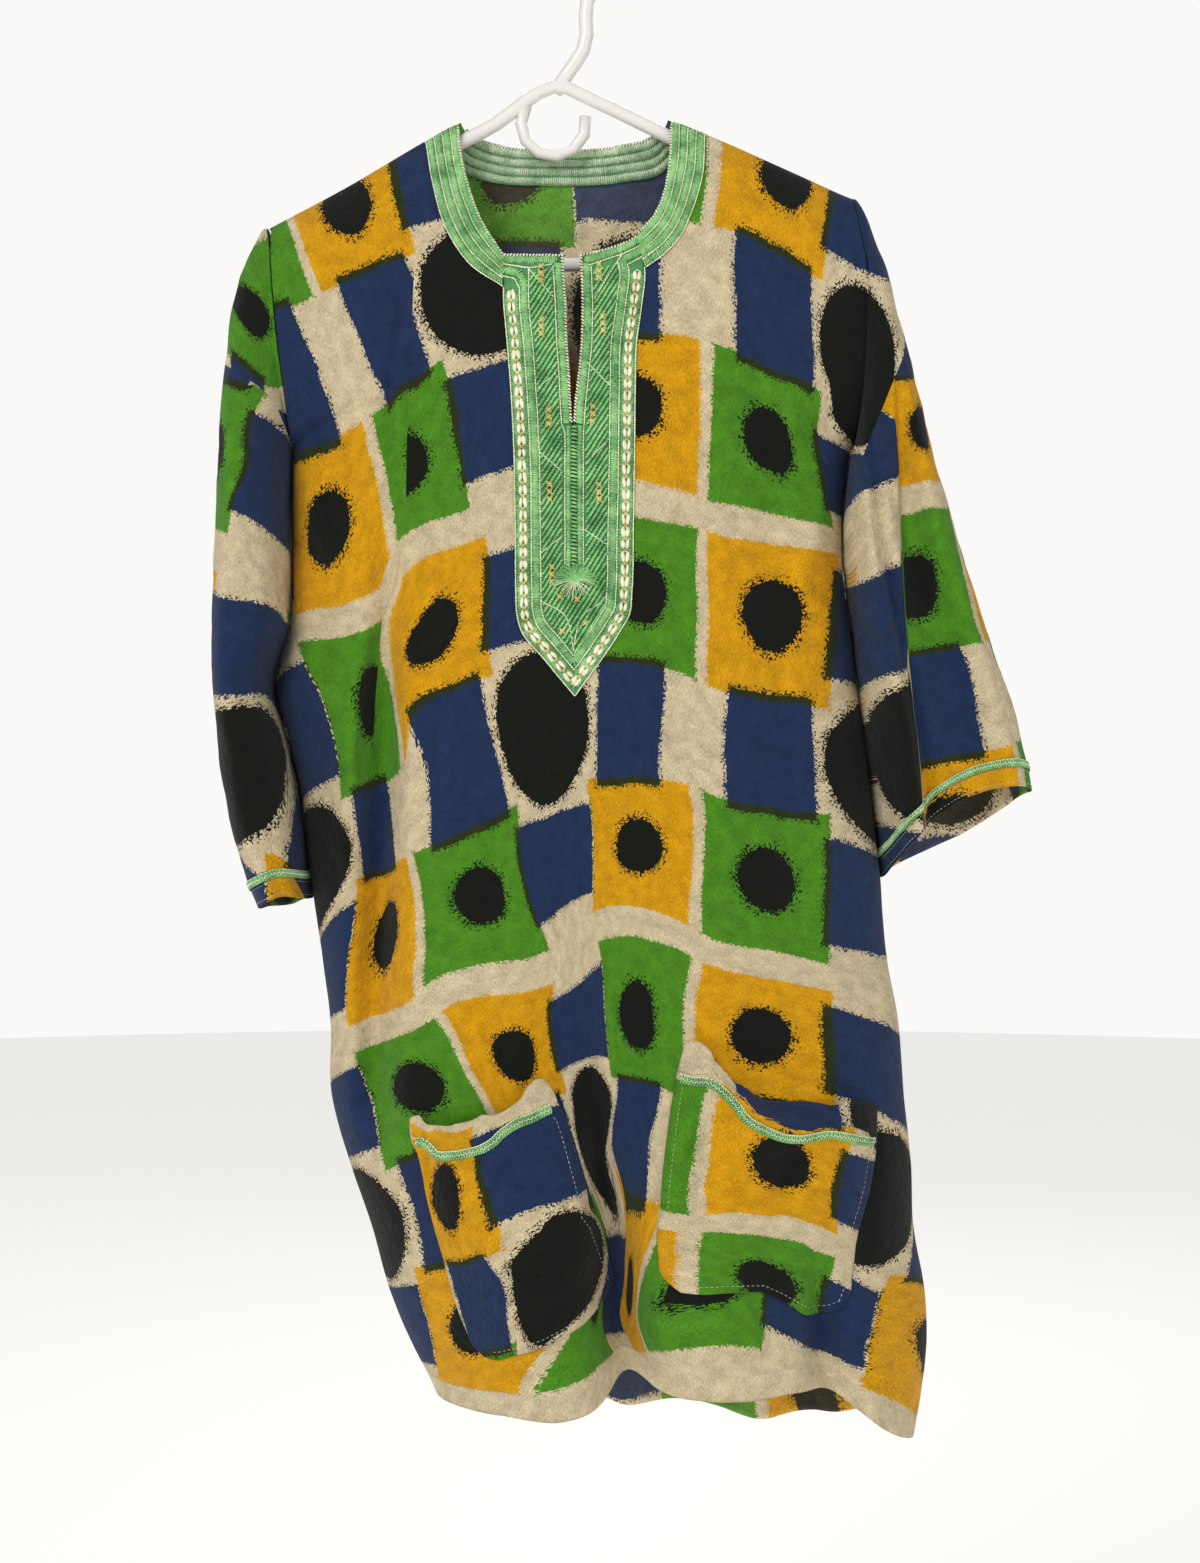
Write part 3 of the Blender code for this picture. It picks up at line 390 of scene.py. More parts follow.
def printedCotton(name, fadeAndLift):
    # Hand-printed brushed cotton: matte, with a short slanting nap that breaks the inks' edges.
    made, tree, surface = newMaterial(name)
    cut = addNode(tree, "UVMap", uv_map="cut")
    over = addNode(tree, "UVMap", uv_map="overSeam")
    past = addNode(tree, "Attribute", None, "Fac", attribute_name="pastSeam")
    past = addNode(tree, "Math", {0: past, 1: 0.0}, operation="GREATER_THAN")
    uv = addNode(tree, "Mix", {0: past, 4: cut, 5: over}, 1, data_type="VECTOR")
    inMm = addNode(tree, "VectorMath", {0: uv, 3: 1000.0}, operation="SCALE")
    # The hand-cut blocks wander by up to 2.5 mm.
    wander = addNode(tree, "TexNoise", {"Vector": inMm, "Scale": 0.03, "Detail": 1.0}, 1)
    centred = addNode(tree, "VectorMath", {0: wander, 1: (0.5, 0.5, 0.5)}, operation="SUBTRACT")
    drift = addNode(tree, "VectorMath", {0: centred, 3: 5.0}, operation="SCALE")
    place = addNode(tree, "VectorMath", {0: inMm, 1: drift}, operation="ADD")
    axes = addNode(tree, "SeparateXYZ", {0: place}, None)
    # The nap: hairs about 0.5 mm thick and 3 mm long, lying at a slant.
    slant = addNode(tree, "Mapping", {"Vector": inMm, "Rotation": (0, 0, 0.9), "Scale": (1.3, 0.42, 1)})
    nap = addNode(tree, "TexNoise", {"Vector": slant, "Scale": 1.0, "Detail": 3.0, "Roughness": 0.65})
    # Sprayed grains about 1 mm across, each reaching a different way past the ink's edge.
    spray = addNode(tree, "TexVoronoi", {"Vector": inMm, "Scale": 0.95}, "Color")
    grain = addNode(tree, "Math", {0: addNode(tree, "SeparateXYZ", {0: spray}), 1: 2.0}, operation="POWER")
    masks = {ink: inkMask(tree, axes, grain, ink) for ink in ("yellow", "green", "navy", "black")}
    inks = {ink: hexColour(printChart[ink + "Ink"]) for ink in (*masks, "olive")}
    # Navy over another ink looks olive.
    under = addNode(tree, "Math", {0: masks["yellow"], 1: masks["green"]}, operation="MAXIMUM")
    inks["navy"] = addNode(tree, "Mix", {0: under, 6: inks["navy"], 7: inks["olive"]}, 2, data_type="RGBA")
    colour = hexColour(printChart["ground"])
    for ink, mask in masks.items():
        colour = addNode(tree, "Mix", {0: mask, 6: colour, 7: inks[ink]}, 2, data_type="RGBA")
    if fadeAndLift:
        # The back of the cloth, where the ink shows through a little paler, then brightened as painted light
        # to lift the shade inside the garment.
        pale = hexColour(printChart["reverse"])
        colour = addNode(tree, "Mix", {0: fadeAndLift, 6: colour, 7: pale}, 2, data_type="RGBA")
        # Painted light: the whole reverse made brighter against the shade it lies in.
        colour = addNode(tree, "HueSaturation", {"Value": 1.35, "Color": colour})
    blotch = addNode(tree, "TexNoise", {"Vector": inMm, "Scale": 0.09, "Detail": 3.0})
    both = addNode(tree, "Math", {0: nap, 1: 2.0, 2: blotch}, operation="MULTIPLY_ADD")
    value = addNode(tree, "MapRange", {0: both, 1: 1.0, 2: 2.0, 3: 0.56, 4: 1.38})
    colour = addNode(tree, "HueSaturation", {"Value": value, "Color": colour})
    fine = addNode(tree, "Bump", {"Height": nap, "Strength": 0.6, "Distance": 0.0008})
    coarse = addNode(tree, "TexNoise", {"Vector": inMm, "Scale": 0.16, "Detail": 3.0})
    relief = addNode(tree, "Bump", {"Height": coarse, "Strength": 0.7, "Distance": 0.0024, "Normal": fine})
    wire(tree, surface, {"Base Color": colour, "Normal": relief, "Roughness": 0.92,
                         "Specular IOR Level": 0.15, "Sheen Weight": 0.06, "Sheen Roughness": 0.6})
    return made


cottonFace = printedCotton("printed brushed cotton", 0.0)
# The inner faces carry painted light: brighter to offset the shade inside the garment.
cottonBackPaintedLight = printedCotton("printed brushed cotton, reverse, painted lighter", 0.06)


def newObject(name, data, *materials):
    made = bpy.data.objects.new(name, data)
    bpy.context.scene.collection.objects.link(made)
    for material in materials:
        data.materials.append(material)
    return made


def reshape(mesh, change):
    # A change made through bmesh.
    form = bmesh.new()
    form.from_mesh(mesh)
    change(form)
    form.to_mesh(mesh)
    form.free()


def meshFromGrid(name, points, uvs, facing, around=False, drop=None, own=None, over=None, past=None):
    # A surface from rows of points in millimetres, with the cut's own flat measure as its UV map.
    # own: the first row of a turned hem and its own measure. over and past: the print beyond a line,
    # and how far past the line each point is.
    rows, count = points.shape[:2]
    faces, uvFaces, overFaces = [], [], []
    for low in range(rows - 1):
        source = own[1] if own and low >= own[0] else uvs
        for left in range(count if around else count - 1):
            right = (left + 1) % count
            corners = [(low, left), (low, right), (low + 1, right), (low + 1, left)][::facing]
            if drop is not None and any(drop[corner] for corner in corners):
                continue
            faces.append([r * count + c for r, c in corners])
            wrapped = [(r, count if around and left == count - 1 and c == 0 else c) for r, c in corners]
            uvFaces.extend([source[corner] for corner in wrapped])
            if over is not None:
                overFaces.extend([(over if source is uvs else source)[corner] for corner in wrapped])
    mesh = bpy.data.meshes.new(name)
    mesh.from_pydata((points.reshape(-1, 3) * mm).tolist(), [], faces)
    for layer, values in (("cut", uvFaces), ("overSeam", overFaces)):
        if values:
            mesh.uv_layers.new(name=layer).data.foreach_set("uv", (np.array(values) * mm).ravel())
    if past is not None:
        mesh.attributes.new("pastSeam", "FLOAT", "POINT").data.foreach_set("value", past.ravel())
    reshape(mesh, lambda form: bmesh.ops.delete(form, geom=[v for v in form.verts if not v.link_faces],
                                                context="VERTS"))
    mesh.shade_smooth()
    return newObject(name, mesh)


def applyModifiers(made):
    graph = bpy.context.evaluated_depsgraph_get()
    mesh = bpy.data.meshes.new_from_object(made.evaluated_get(graph), preserve_all_data_layers=True,
                                           depsgraph=graph)
    made.modifiers.clear()
    made.data = mesh


def thicken(made, thickness, inner=0):
    wall = made.modifiers.new("wall", "SOLIDIFY")
    wall.thickness = thickness * mm
    wall.offset = -1
    wall.material_offset = inner
    applyModifiers(made)


def piece(made, slot="braid", *nodes):
    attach(made, "root")
    if nodes:
        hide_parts(*nodes)
    return made


def clothPiece(made, node, thickness=0.8):
    made.data.materials.append(cottonFace)
    made.data.materials.append(cottonBackPaintedLight)
    thicken(made, thickness, 1)
    piece(made, "print_cotton", node)


def polyline(points, count):
    points = np.array(points, float)
    run = lengths(points)
    even = np.linspace(0, run[-1], count)
    return np.column_stack([smooth(even, run, points[:, axis]) for axis in range(points.shape[1])])


neckCut = {
    "left": [(-82, -118), (-79.8, -155), (-73, -184), (-65, -205), (-56.5, -219.5), (-45, -230)],
    "right": [(67, -118), (65.5, -164), (59.5, -192), (52.5, -205), (40.5, -215), (22, -223.5)],
    "back": [(-82, -118), (-73, -136), (-52, -144.5), (-16, -147), (30, -144.5), (57, -136), (67, -118)],
    "slit": [  # z, left, right
        (-350, -1.5, -0.3), (-337, -2.3, 0.3), (-316, -3.2, 2.6), (-295, -4.9, 4.7), (-266, -5.8, 5.3),
        (-231, -8.2, 3.9)],
}


slitRows = np.array(neckCut["slit"], float)


def neckOutline(side):
    if side == "back":
        return np.vstack([polyline(neckCut["back"], 80), [(67, -100), (-82, -100)]])
    down = np.linspace(-231, -350, 40)
    left, right = (np.column_stack([np.interp(down, slitRows[:, 0], slitRows[:, k]), down]) for k in (1, 2))
    curves = [polyline(neckCut[name], 60) for name in ("left", "right")]
    return np.vstack([curves[0], left, right[::-1], curves[1][::-1]])


def inside(outline, x, z):
    within = np.zeros(x.shape, bool)
    ends = np.roll(outline, -1, axis=0)
    for (ax, az), (bx, bz) in zip(outline, ends):
        if az == bz:
            continue
        crosses = ((az > z) != (bz > z)) & (x < (bx - ax) * (z - az) / (bz - az) + ax)
        within ^= crosses
    return within


def widened(outline, by):
    # The cut cloth stops a little short of the visible edge, which the bands carry.
    ahead = np.roll(outline, -1, axis=0) - np.roll(outline, 1, axis=0)
    ahead /= np.maximum(np.linalg.norm(ahead, axis=1), 1e-9)[:, None]
    after = np.roll(outline, -1, axis=0)
    turn = np.sign(np.sum(outline[:, 0] * after[:, 1] - after[:, 0] * outline[:, 1]))
    return outline + turn * by * np.column_stack([ahead[:, 1], -ahead[:, 0]])


def nearestOn(outline, x, z):
    runs = np.roll(outline, -1, axis=0) - outline
    away = np.array([x, z]) - outline
    share = np.clip((away * runs).sum(axis=1) / np.maximum((runs**2).sum(axis=1), 1e-9), 0, 1)
    places = outline + runs * share[:, None]
    return places[np.argmin(np.hypot(x - places[:, 0], z - places[:, 1]))]


panelMesh = {
    "front": {"rows": 276, "columns": 150, "hemRows": 5},
    "back": {"rows": 226, "columns": 120, "hemRows": 0},
    # Close rows over the shoulder, their fall in millimetres, then even ones down to the hem.
    "start": [0, 0, 1, 2.5, 4.5, 7, 10, 13.5], "fall": 880,
    "waves": [(1.6, 34, 3.0), (0.85, 13, 9.0)], "waveDepth": 40,
    "pucker": [(1.3, 6, 2.0)], "puckerAbove": 13, "puckerHalf": 11, "neckInset": 3.2,
    # The print's own place where the back's and the hem's measures are 0, and its scale down them.
    "backPrint": (-19, 26.5, 0.9327), "hemPrint": (106, 0.9),
}


def cutNeck(points, outline):
    x, z = points[..., 0], points[..., 2]
    gone = inside(outline, x, z)
    # Points just outside the cut, next to points inside it, slide onto its line.
    for low, left in zip(*np.nonzero(~gone)):
        if gone[max(low - 1, 0):low + 2, max(left - 1, 0):left + 2].any():
            points[low, left, [0, 2]] = nearestOn(outline, x[low, left], z[low, left])
    return gone


def asSeen(points):
    # Where points show on the plane of the hook, from the viewpoint.
    share = eye[1] / (eye[1] - points[..., 1:2])
    return eye[[0, 2]] + (points[..., [0, 2]] - eye[[0, 2]]) * share


# Where a fold of the front hides some cloth: seen z and x, and the print skipped left and right of it,
# which the cloth's print eases into over the reach.
hiddenPrint = {
    "leftReach": 30, "rightReach": 38,
    "rows": np.array([
        (-650, -146, 0, 0), (-600, -143, 3, 20), (-533, -139.6, 3, 26), (-478, -135, 3, 16),
        (-450, -126, 0, 0), (-436, -119, 3, 8), (-400, -118.5, 10, 19), (-342, -117.4, 10, 19),
        (-290, -115, 6, 12), (-215, -112, 0, 0),
    ], float),
}


def skipPrint(points, uvs):
    # The print left and right of the fold, and how far right of it each point is.
    seen, rows = asSeen(points), hiddenPrint["rows"]
    foldX, before, after = (np.interp(seen[..., 1], rows[:, 0], rows[:, k]) for k in (1, 2, 3))
    past = seen[..., 0] - foldX
    left, right = uvs.copy(), uvs.copy()
    left[..., 0] -= before * np.clip(1 + past / hiddenPrint["leftReach"], 0, 1)
    right[..., 0] += after * np.clip(1 - past / hiddenPrint["rightReach"], 0, 1)
    return left, right, past


def makePanel(side):
    settings, sign = panelMesh[side], way[side]
    start = np.array(panelMesh["start"]) / panelMesh["fall"]
    drops = np.concatenate([start, np.linspace(start[-1], 1, settings["rows"])[1:]])
    points, arcs = panelGrid(side, drops, settings["columns"])
    flat = points.reshape(-1, 3)
    depth = np.clip((ridge(flat[:, 0]) - flat[:, 2]) / panelMesh["waveDepth"], 0, 1)
    flat[:, 1] += sign * depth * crumple(flat, panelMesh["waves"])
    # The turned hem puckers along its stitches.
    above = points[..., 2] - points[-1:, :, 2]
    pucker = crumple(np.dstack([arcs, 0 * arcs, above * 0.3]).reshape(-1, 3), panelMesh["pucker"])
    pucker = pucker.reshape(arcs.shape) * bump(above, panelMesh["puckerAbove"], panelMesh["puckerHalf"])
    points[..., 1] += sign * pucker
    tree = treeOf(points)
    gone = cutNeck(points, widened(neckOutline(side), panelMesh["neckInset"]))
    if side == "front":
        measures = np.dstack([arcs, points[..., 2]])
        uvs = onGrid(thinPlate(seenPlaces(frontMarks, points, measures)), measures)
        uvs, over, past = skipPrint(points, uvs)
    else:
        across, down, scale = panelMesh["backPrint"]
        over = past = None
        droop = ridge(points[..., 0]) + 124
        uvs = np.dstack([across - arcs, down - scale * points[..., 2] + 0.75 * droop])
    # The front's turned hem is a band of plain ground.
    down, scale = panelMesh["hemPrint"]
    turned = len(points) - 1 - settings["hemRows"]
    made = meshFromGrid(side + "Cloth", points, uvs, sign, drop=gone,
                        own=(turned, np.dstack([arcs, down + scale * above])), over=over, past=past)
    clothPiece(made, side)
    return made, tree


def seenPlaces(marks, points, measures, strict=False):
    # Marks are noted as seen from the viewpoint, on the plane of the hook: each is carried along its
    # line of sight to the cloth, and given in the cloth's own measures.
    # Strict leaves out a mark whose line misses the cloth.
    tree = treeOf(points)
    count = points.shape[1]
    found = []
    for u, v, x, z in marks:
        hit, _, index, _ = tree.ray_cast(Vector(eye), (Vector((x, 0, z)) - Vector(eye)).normalized())
        if hit is None and strict:
            continue
        if hit is None:
            hit, _, index, _ = tree.find_nearest(Vector((x, 0, z)))
        low, left = divmod(index, count - 1)
        corners = [(low, left), (low, left + 1), (low + 1, left), (low + 1, left + 1)]
        near = [1 / ((Vector(points[c]) - hit).length + 0.3) ** 2 for c in corners]
        found.append((u, v, *(sum(n * measures[c] for n, c in zip(near, corners)) / sum(near))))
    return found


def treeOf(points):
    rows, count = points.shape[:2]
    firsts = [low * count + left for low in range(rows - 1) for left in range(count - 1)]
    quads = [(first, first + 1, first + count + 1, first + count) for first in firsts]
    return BVHTree.FromPolygons([Vector(p) for p in points.reshape(-1, 3)], quads)


print("body panels")
frontCloth, frontTree = makePanel("front")
backCloth, backTree = makePanel("back")


def sleeveRing(side, share, turns):
    rows = sleeveRows[side]
    knots = np.linspace(0, 1, len(rows))
    value = {name: smooth(share, knots, column(rows, sleeveColumns, name)) for name in sleeveColumns}
    angle = 2 * math.pi * turns
    outward, forward = (np.sign(part) * np.abs(part) ** 0.86 for part in (np.cos(angle), np.sin(angle)))
    x, z = ((value["outer" + axis] + value["inner" + axis]) / 2
            + (value["outer" + axis] - value["inner" + axis]) / 2 * outward for axis in "XZ")
    depth = value["halfDepth"]
    for turn, rise, halfTurn, fromShare in sleeveFolds[side]:
        depth = depth + rise * bump(turns, turn, halfTurn) * ease((share - fromShare) / 0.35)
    y = value["middleY"] - depth * forward
    front, back, outer, inner = cuffLift[side]
    lift = np.where(forward > 0, front, back) * np.abs(forward) ** 2
    lift = lift + np.where(outward > 0, outer, inner) * np.abs(outward) ** 2
    return np.column_stack([x, y, z + lift * ease((share - 0.55) / 0.45)])


def armholeRing(side, turns, out):
    angle = 2 * math.pi * turns
    tip = float(ridge(shoulder[side]))
    z = (tip + shoulder["armpit"]) / 2 + (tip - shoulder["armpit"]) / 2 * np.cos(angle)
    edge = body(side, z) + (shoulder[side] - body(side, tip)) * ease((z - tip + 20) / 20)
    return np.column_stack([edge + way[side] * out, -(shoulder["armholeDepth"] + 0.3) * np.sin(angle), z])


# Where the sleeves' print falls, as seen from the viewpoint.
sleevePrints = {
    "left": {
        "seam": [(-300, -265), (-240, -304), (-223, -315), (-211, -325), (-197, -359), (-180, -400)],
        "reach": (-1e4, 299),
        "cap": [(-240, -128, -227, -265), (-195, -128, -197, -270), (-240, -80, -226, -307),
                (-195, -80, -211, -321), (-195, -178, -215, -220), (-285, -80, -242, -287)],
        "own": [(192, 0, -211, -321), (192, 50, -225, -370), (192, 100, -241, -417),
                (237, 84, -217, -416), (205, 84, -234, -406), (237, 16, -202, -354),
                (215, 141, -247, -465), (262, 141, -200, -484), (222, 207, -248, -530),
                (270, 207, -208, -543), (284.5, 265, -204, -587), (237.5, 265, -246, -587),
                (240, 218, -245, -545), (240, 312, -237, -636), (285, 305, -220, -645),
                (295, 309, -200, -652), (295, 240, -195, -614)],
    },
    "right": {
        "seam": [(180, -418), (223, -312), (260, -221)], "reach": (-90, 1e4),
        "cap": [(284.5, -40, 223, -304), (237.5, 7, 194.5, -357), (237.5, -86, 200, -248)],
        "own": [(0, 30, 213, -332), (-96, 84, 190, -403), (-45, 84, 225, -379), (-96, 141, 189, -464),
                (-40, 141, 230, -442), (-96, 207, 199, -527), (-50, 207, 233, -512), (-94.5, 265, 206, -568),
                (-55, 218, 236, -525), (-55, 312, 241, -619)],
        # The cloth behind the fold, along a line seen from the top down.
        "under": [(0, 30, 213, -332), (0, 75, 222, -365), (15, 100, 229, -387), (50, 100, 248, -383),
                  (20, 127, 231, -404), (60, 127, 254, -400), (45, 177, 232, -458), (66, 222, 270, -496),
                  (66, 309, 286, -575), (30, 309, 244, -583), (90, 310, 307, -572), (90, 180, 274, -459),
                  (90, 222, 283, -491)],
        "fold": [(223, -288), (225, -322), (226, -348), (228, -380), (229, -410), (231, -450),
                 (234, -494), (238, -540), (243, -584), (247, -640)],
    },
}
sleeveMesh = {
    "rings": 110, "around": 96, "armholeOut": (0.9, 2.7), "keyRings": 13,
    "waves": [(1.9, 26, 21.0), (0.8, 11, 5.0)], "waveFrom": 0.12, "nearest": 0.35,
    # The fold: its column, how far the columns slide, where it is looked for and kept, and its lip.
    "foldColumn": 72, "foldSlide": 24, "foldSearch": (56, 92), "foldRange": (60, 84),
    "foldRise": 1.6, "foldSink": 3.0, "foldStart": (30, 16), "foldLip": (8, 9),
}
sleevePoints = {}


def restOnBody(side, points, turns):
    # The inner edge hangs against the body, just clear of it.
    inward = -np.cos(2 * math.pi * turns)
    gaps = [min(tree.find_nearest(Vector(p))[3] for tree in (frontTree, backTree) for p in ring)
            for ring in points[:, inward > 0.3]]
    gaps = np.minimum(np.array(gaps), 9)
    gaps = np.array([gaps[max(k - 1, 0):k + 2].min() for k in range(len(gaps))])
    gaps = np.convolve(np.pad(gaps, 3, mode="edge"), np.ones(7) / 7, mode="valid")
    points[..., 0] -= way[side] * np.maximum(gaps - sleeveMesh["nearest"], 0)[:, None] * ease(inward)[None]
    return points


def trueSize(seen, measures):
    # The print laid at its true size in its best place and turn, then eased towards the marks.
    seen, at = np.array(seen), measures.reshape(-1, 2)
    middle = seen.mean(axis=0)
    prints, places = (seen - middle)[:, :2], (seen - middle)[:, 2:]
    crossed = places[:, 0] * prints[:, 1] - places[:, 1] * prints[:, 0]
    turn = math.atan2(crossed.sum(), (places * prints).sum())
    rotation = np.array([[math.cos(turn), math.sin(turn)], [-math.sin(turn), math.cos(turn)]])
    flat = (at - middle[2:]) @ rotation + middle[:2]
    eased = thinPlate(np.column_stack([prints - places @ rotation, seen[:, 2:]]))(at)
    near = np.min(np.linalg.norm(at[:, None] - seen[None, :, 2:], axis=2), axis=1)
    return (flat + eased * ease(1.6 - near / 60)[:, None]).reshape(measures.shape)


def capPrint(side, points, marks):
    # The cap carries the body's print over a dropped shoulder, as seen, and on round its far side.
    seen = asSeen(points)
    outline = np.argmax(way[side] * seen[..., 0], axis=1)
    behind = points[..., 1] - np.take_along_axis(points[..., 1], outline[:, None], axis=1)
    turns = np.arange(points.shape[1]) / sleeveMesh["around"]
    outer = np.interp(turns, [0, 0.25, 0.75, 0.76], [0, 1, 1, 0])
    seen[..., 0] += way[side] * 0.8 * np.maximum(behind, 0) * outer
    return onGrid(thinPlate(frontMarks + marks, 0.5), seen)


def slideTo(grid, at):
    # Each row read at the given places along it.
    low = np.clip(at.astype(int), 0, grid.shape[1] - 2)
    row = np.arange(len(grid))[:, None]
    part = (at - low)[..., None]
    return grid[row, low] * (1 - part) + grid[row, low + 1] * part


def foldPlaces(points, fold):
    # Where the fold crosses each ring, and so where the columns slide to follow it.
    fixed, slide = sleeveMesh["foldColumn"], sleeveMesh["foldSlide"]
    line, columns = np.array(fold[::-1], float), np.arange(*sleeveMesh["foldSearch"])
    crossing = [np.interp(0, smooth(ring[columns, 1], line[:, 1], line[:, 0]) - ring[columns, 0], columns)
                for ring in asSeen(points)]
    crossing = np.convolve(np.pad(crossing, 4, mode="edge"), np.ones(9) / 9, mode="valid")
    crossing = np.clip(crossing, *sleeveMesh["foldRange"])
    spread = np.arange(points.shape[1])
    return spread + (crossing[:, None] - fixed) * ease(1 - np.abs(spread - fixed) / slide)


def makeSleeve(side):
    around, rings = sleeveMesh["around"], sleeveMesh["rings"]
    turns = np.linspace(0.5, 1.5, around, endpoint=False) % 1
    key = [armholeRing(side, turns, out) for out in sleeveMesh["armholeOut"]]
    key += [sleeveRing(side, share, turns) for share in np.linspace(0, 1, sleeveMesh["keyRings"])]
    key = np.array(key)
    # A finer sleeve through the same rings.
    knots = np.arange(len(key), dtype=float)
    knots[1:] -= 0.75
    shares = np.linspace(0, knots[-1], rings)
    points = np.array([[smooth(shares, knots, key[:, index, axis]) for axis in range(3)]
                       for index in range(around)]).transpose(2, 0, 1)
    away = points - points.mean(axis=1, keepdims=True)
    away[..., 2] *= 0.3
    away /= np.linalg.norm(away, axis=2, keepdims=True)
    deep = ease(np.linspace(0, 1, rings) / sleeveMesh["waveFrom"])[:, None]
    wave = crumple(points.reshape(-1, 3), sleeveMesh["waves"]).reshape(points.shape[:2]) * deep
    points = restOnBody(side, points + away * wave[..., None], turns)
    closed = np.concatenate([points, points[:, :1]], axis=1)
    # How far round the level section from the front, and how far down.
    run = np.array([lengths(ring[:, :2]) for ring in closed])
    measures = np.dstack([(run - run[:, 3 * around // 4][:, None]) * -way[side], -closed[..., 2]])
    settings = sleevePrints[side]
    if "fold" in settings:
        at = foldPlaces(closed, settings["fold"])
        closed, measures = slideTo(closed, at), slideTo(measures, at)
    own = trueSize(seenPlaces(settings["own"], closed, measures, True), measures)
    own[..., 0] = np.clip(own[..., 0], *settings["reach"])
    if "fold" in settings:
        # A soft fold: the inner cloth laps over, and the print behind it starts further on.
        fixed, (ahead, behind) = sleeveMesh["foldColumn"], sleeveMesh["foldLip"]
        first, over = sleeveMesh["foldStart"]
        under = trueSize(seenPlaces(settings["under"], closed, measures, True), measures)
        own[:, :fixed + 1] = under[:, :fixed + 1]
        past = np.arange(around + 1) - fixed
        out = np.where(past > 0, sleeveMesh["foldRise"] * ease(1 - (past - 1) / ahead),
                       -sleeveMesh["foldSink"] * ease(1 + past / behind))
        closed[..., 1] -= ease((np.arange(rings) - first) / over)[:, None] * out[None]
    points = sleevePoints[side] = closed[:, :-1]
    seen, seam = asSeen(points), np.array(settings["seam"])
    above = seen[..., 1] - np.interp(seen[..., 0], seam[:, 0], seam[:, 1])
    made = meshFromGrid("sleeve" + side.capitalize() + "Cloth", points, own, way[side], around=True,
                        over=capPrint(side, closed, settings["cap"]), past=above)
    clothPiece(made, "sleeve_" + side)
    return made


print("sleeves")
sleeveLeft = makeSleeve("left")
sleeveRight = makeSleeve("right")

print("threads and braids")


def clothPoint(tree, x, z, out=0.0, side=-1):
    # The cloth's face as seen from one side, moved out along its own normal.
    hit, normal, _, _ = tree.ray_cast(Vector((x, side * 400, z)), Vector((0, -side, 0)))
    if hit is None:
        hit, normal, _, _ = tree.find_nearest(Vector((x, side * 60, z)))
        hit = Vector((x, hit.y, z))
    if normal.y * side < 0:
        normal = -normal
    return hit + normal * out, normal


def onCloth(tree, side=-1, lift=0.0):
    return lambda x, z, out: clothPoint(tree, float(x), float(z), lift + out, side)


# One short length of thread, the same from either end: its sides, then stations from one end to
# the middle with how high and how wide it is there.
threadForms = {
    "flat": (4, [(-0.5, 0.1, 0.35), (-0.3, 0.5, 0.95)]),
    "arched": (4, [(-0.5, 0.05, 0.7), (-0.3, 0.52, 1.0), (0.0, 0.7, 1.0)]),
    "leaf": (6, [(-0.5, 0.1, 0.12), (-0.3, 0.42, 0.75), (0.0, 0.5, 1.0)]),
}


def makeThreadForm(name):
    sides, stations = threadForms[name]
    form = bmesh.new()
    turns = [2 * math.pi * (k + 0.5) / sides for k in range(sides)]
    stations = stations + [(-x, lift, wide) for x, lift, wide in stations[::-1] if x]
    rings = [[form.verts.new((x, 0.5 * wide * math.cos(t), lift + 0.5 * wide * math.sin(t))) for t in turns]
             for x, lift, wide in stations]
    for low, high in zip(rings, rings[1:]):
        for k in range(len(turns)):
            after = (k + 1) % len(turns)
            form.faces.new((low[k], high[k], high[after], low[after]))
    form.faces.new(rings[0])
    form.faces.new(rings[-1][::-1])
    bmesh.ops.recalc_face_normals(form, faces=form.faces)
    mesh = bpy.data.meshes.new(name + "Thread")
    form.to_mesh(mesh)
    form.free()
    return newObject(name + "Thread", mesh)


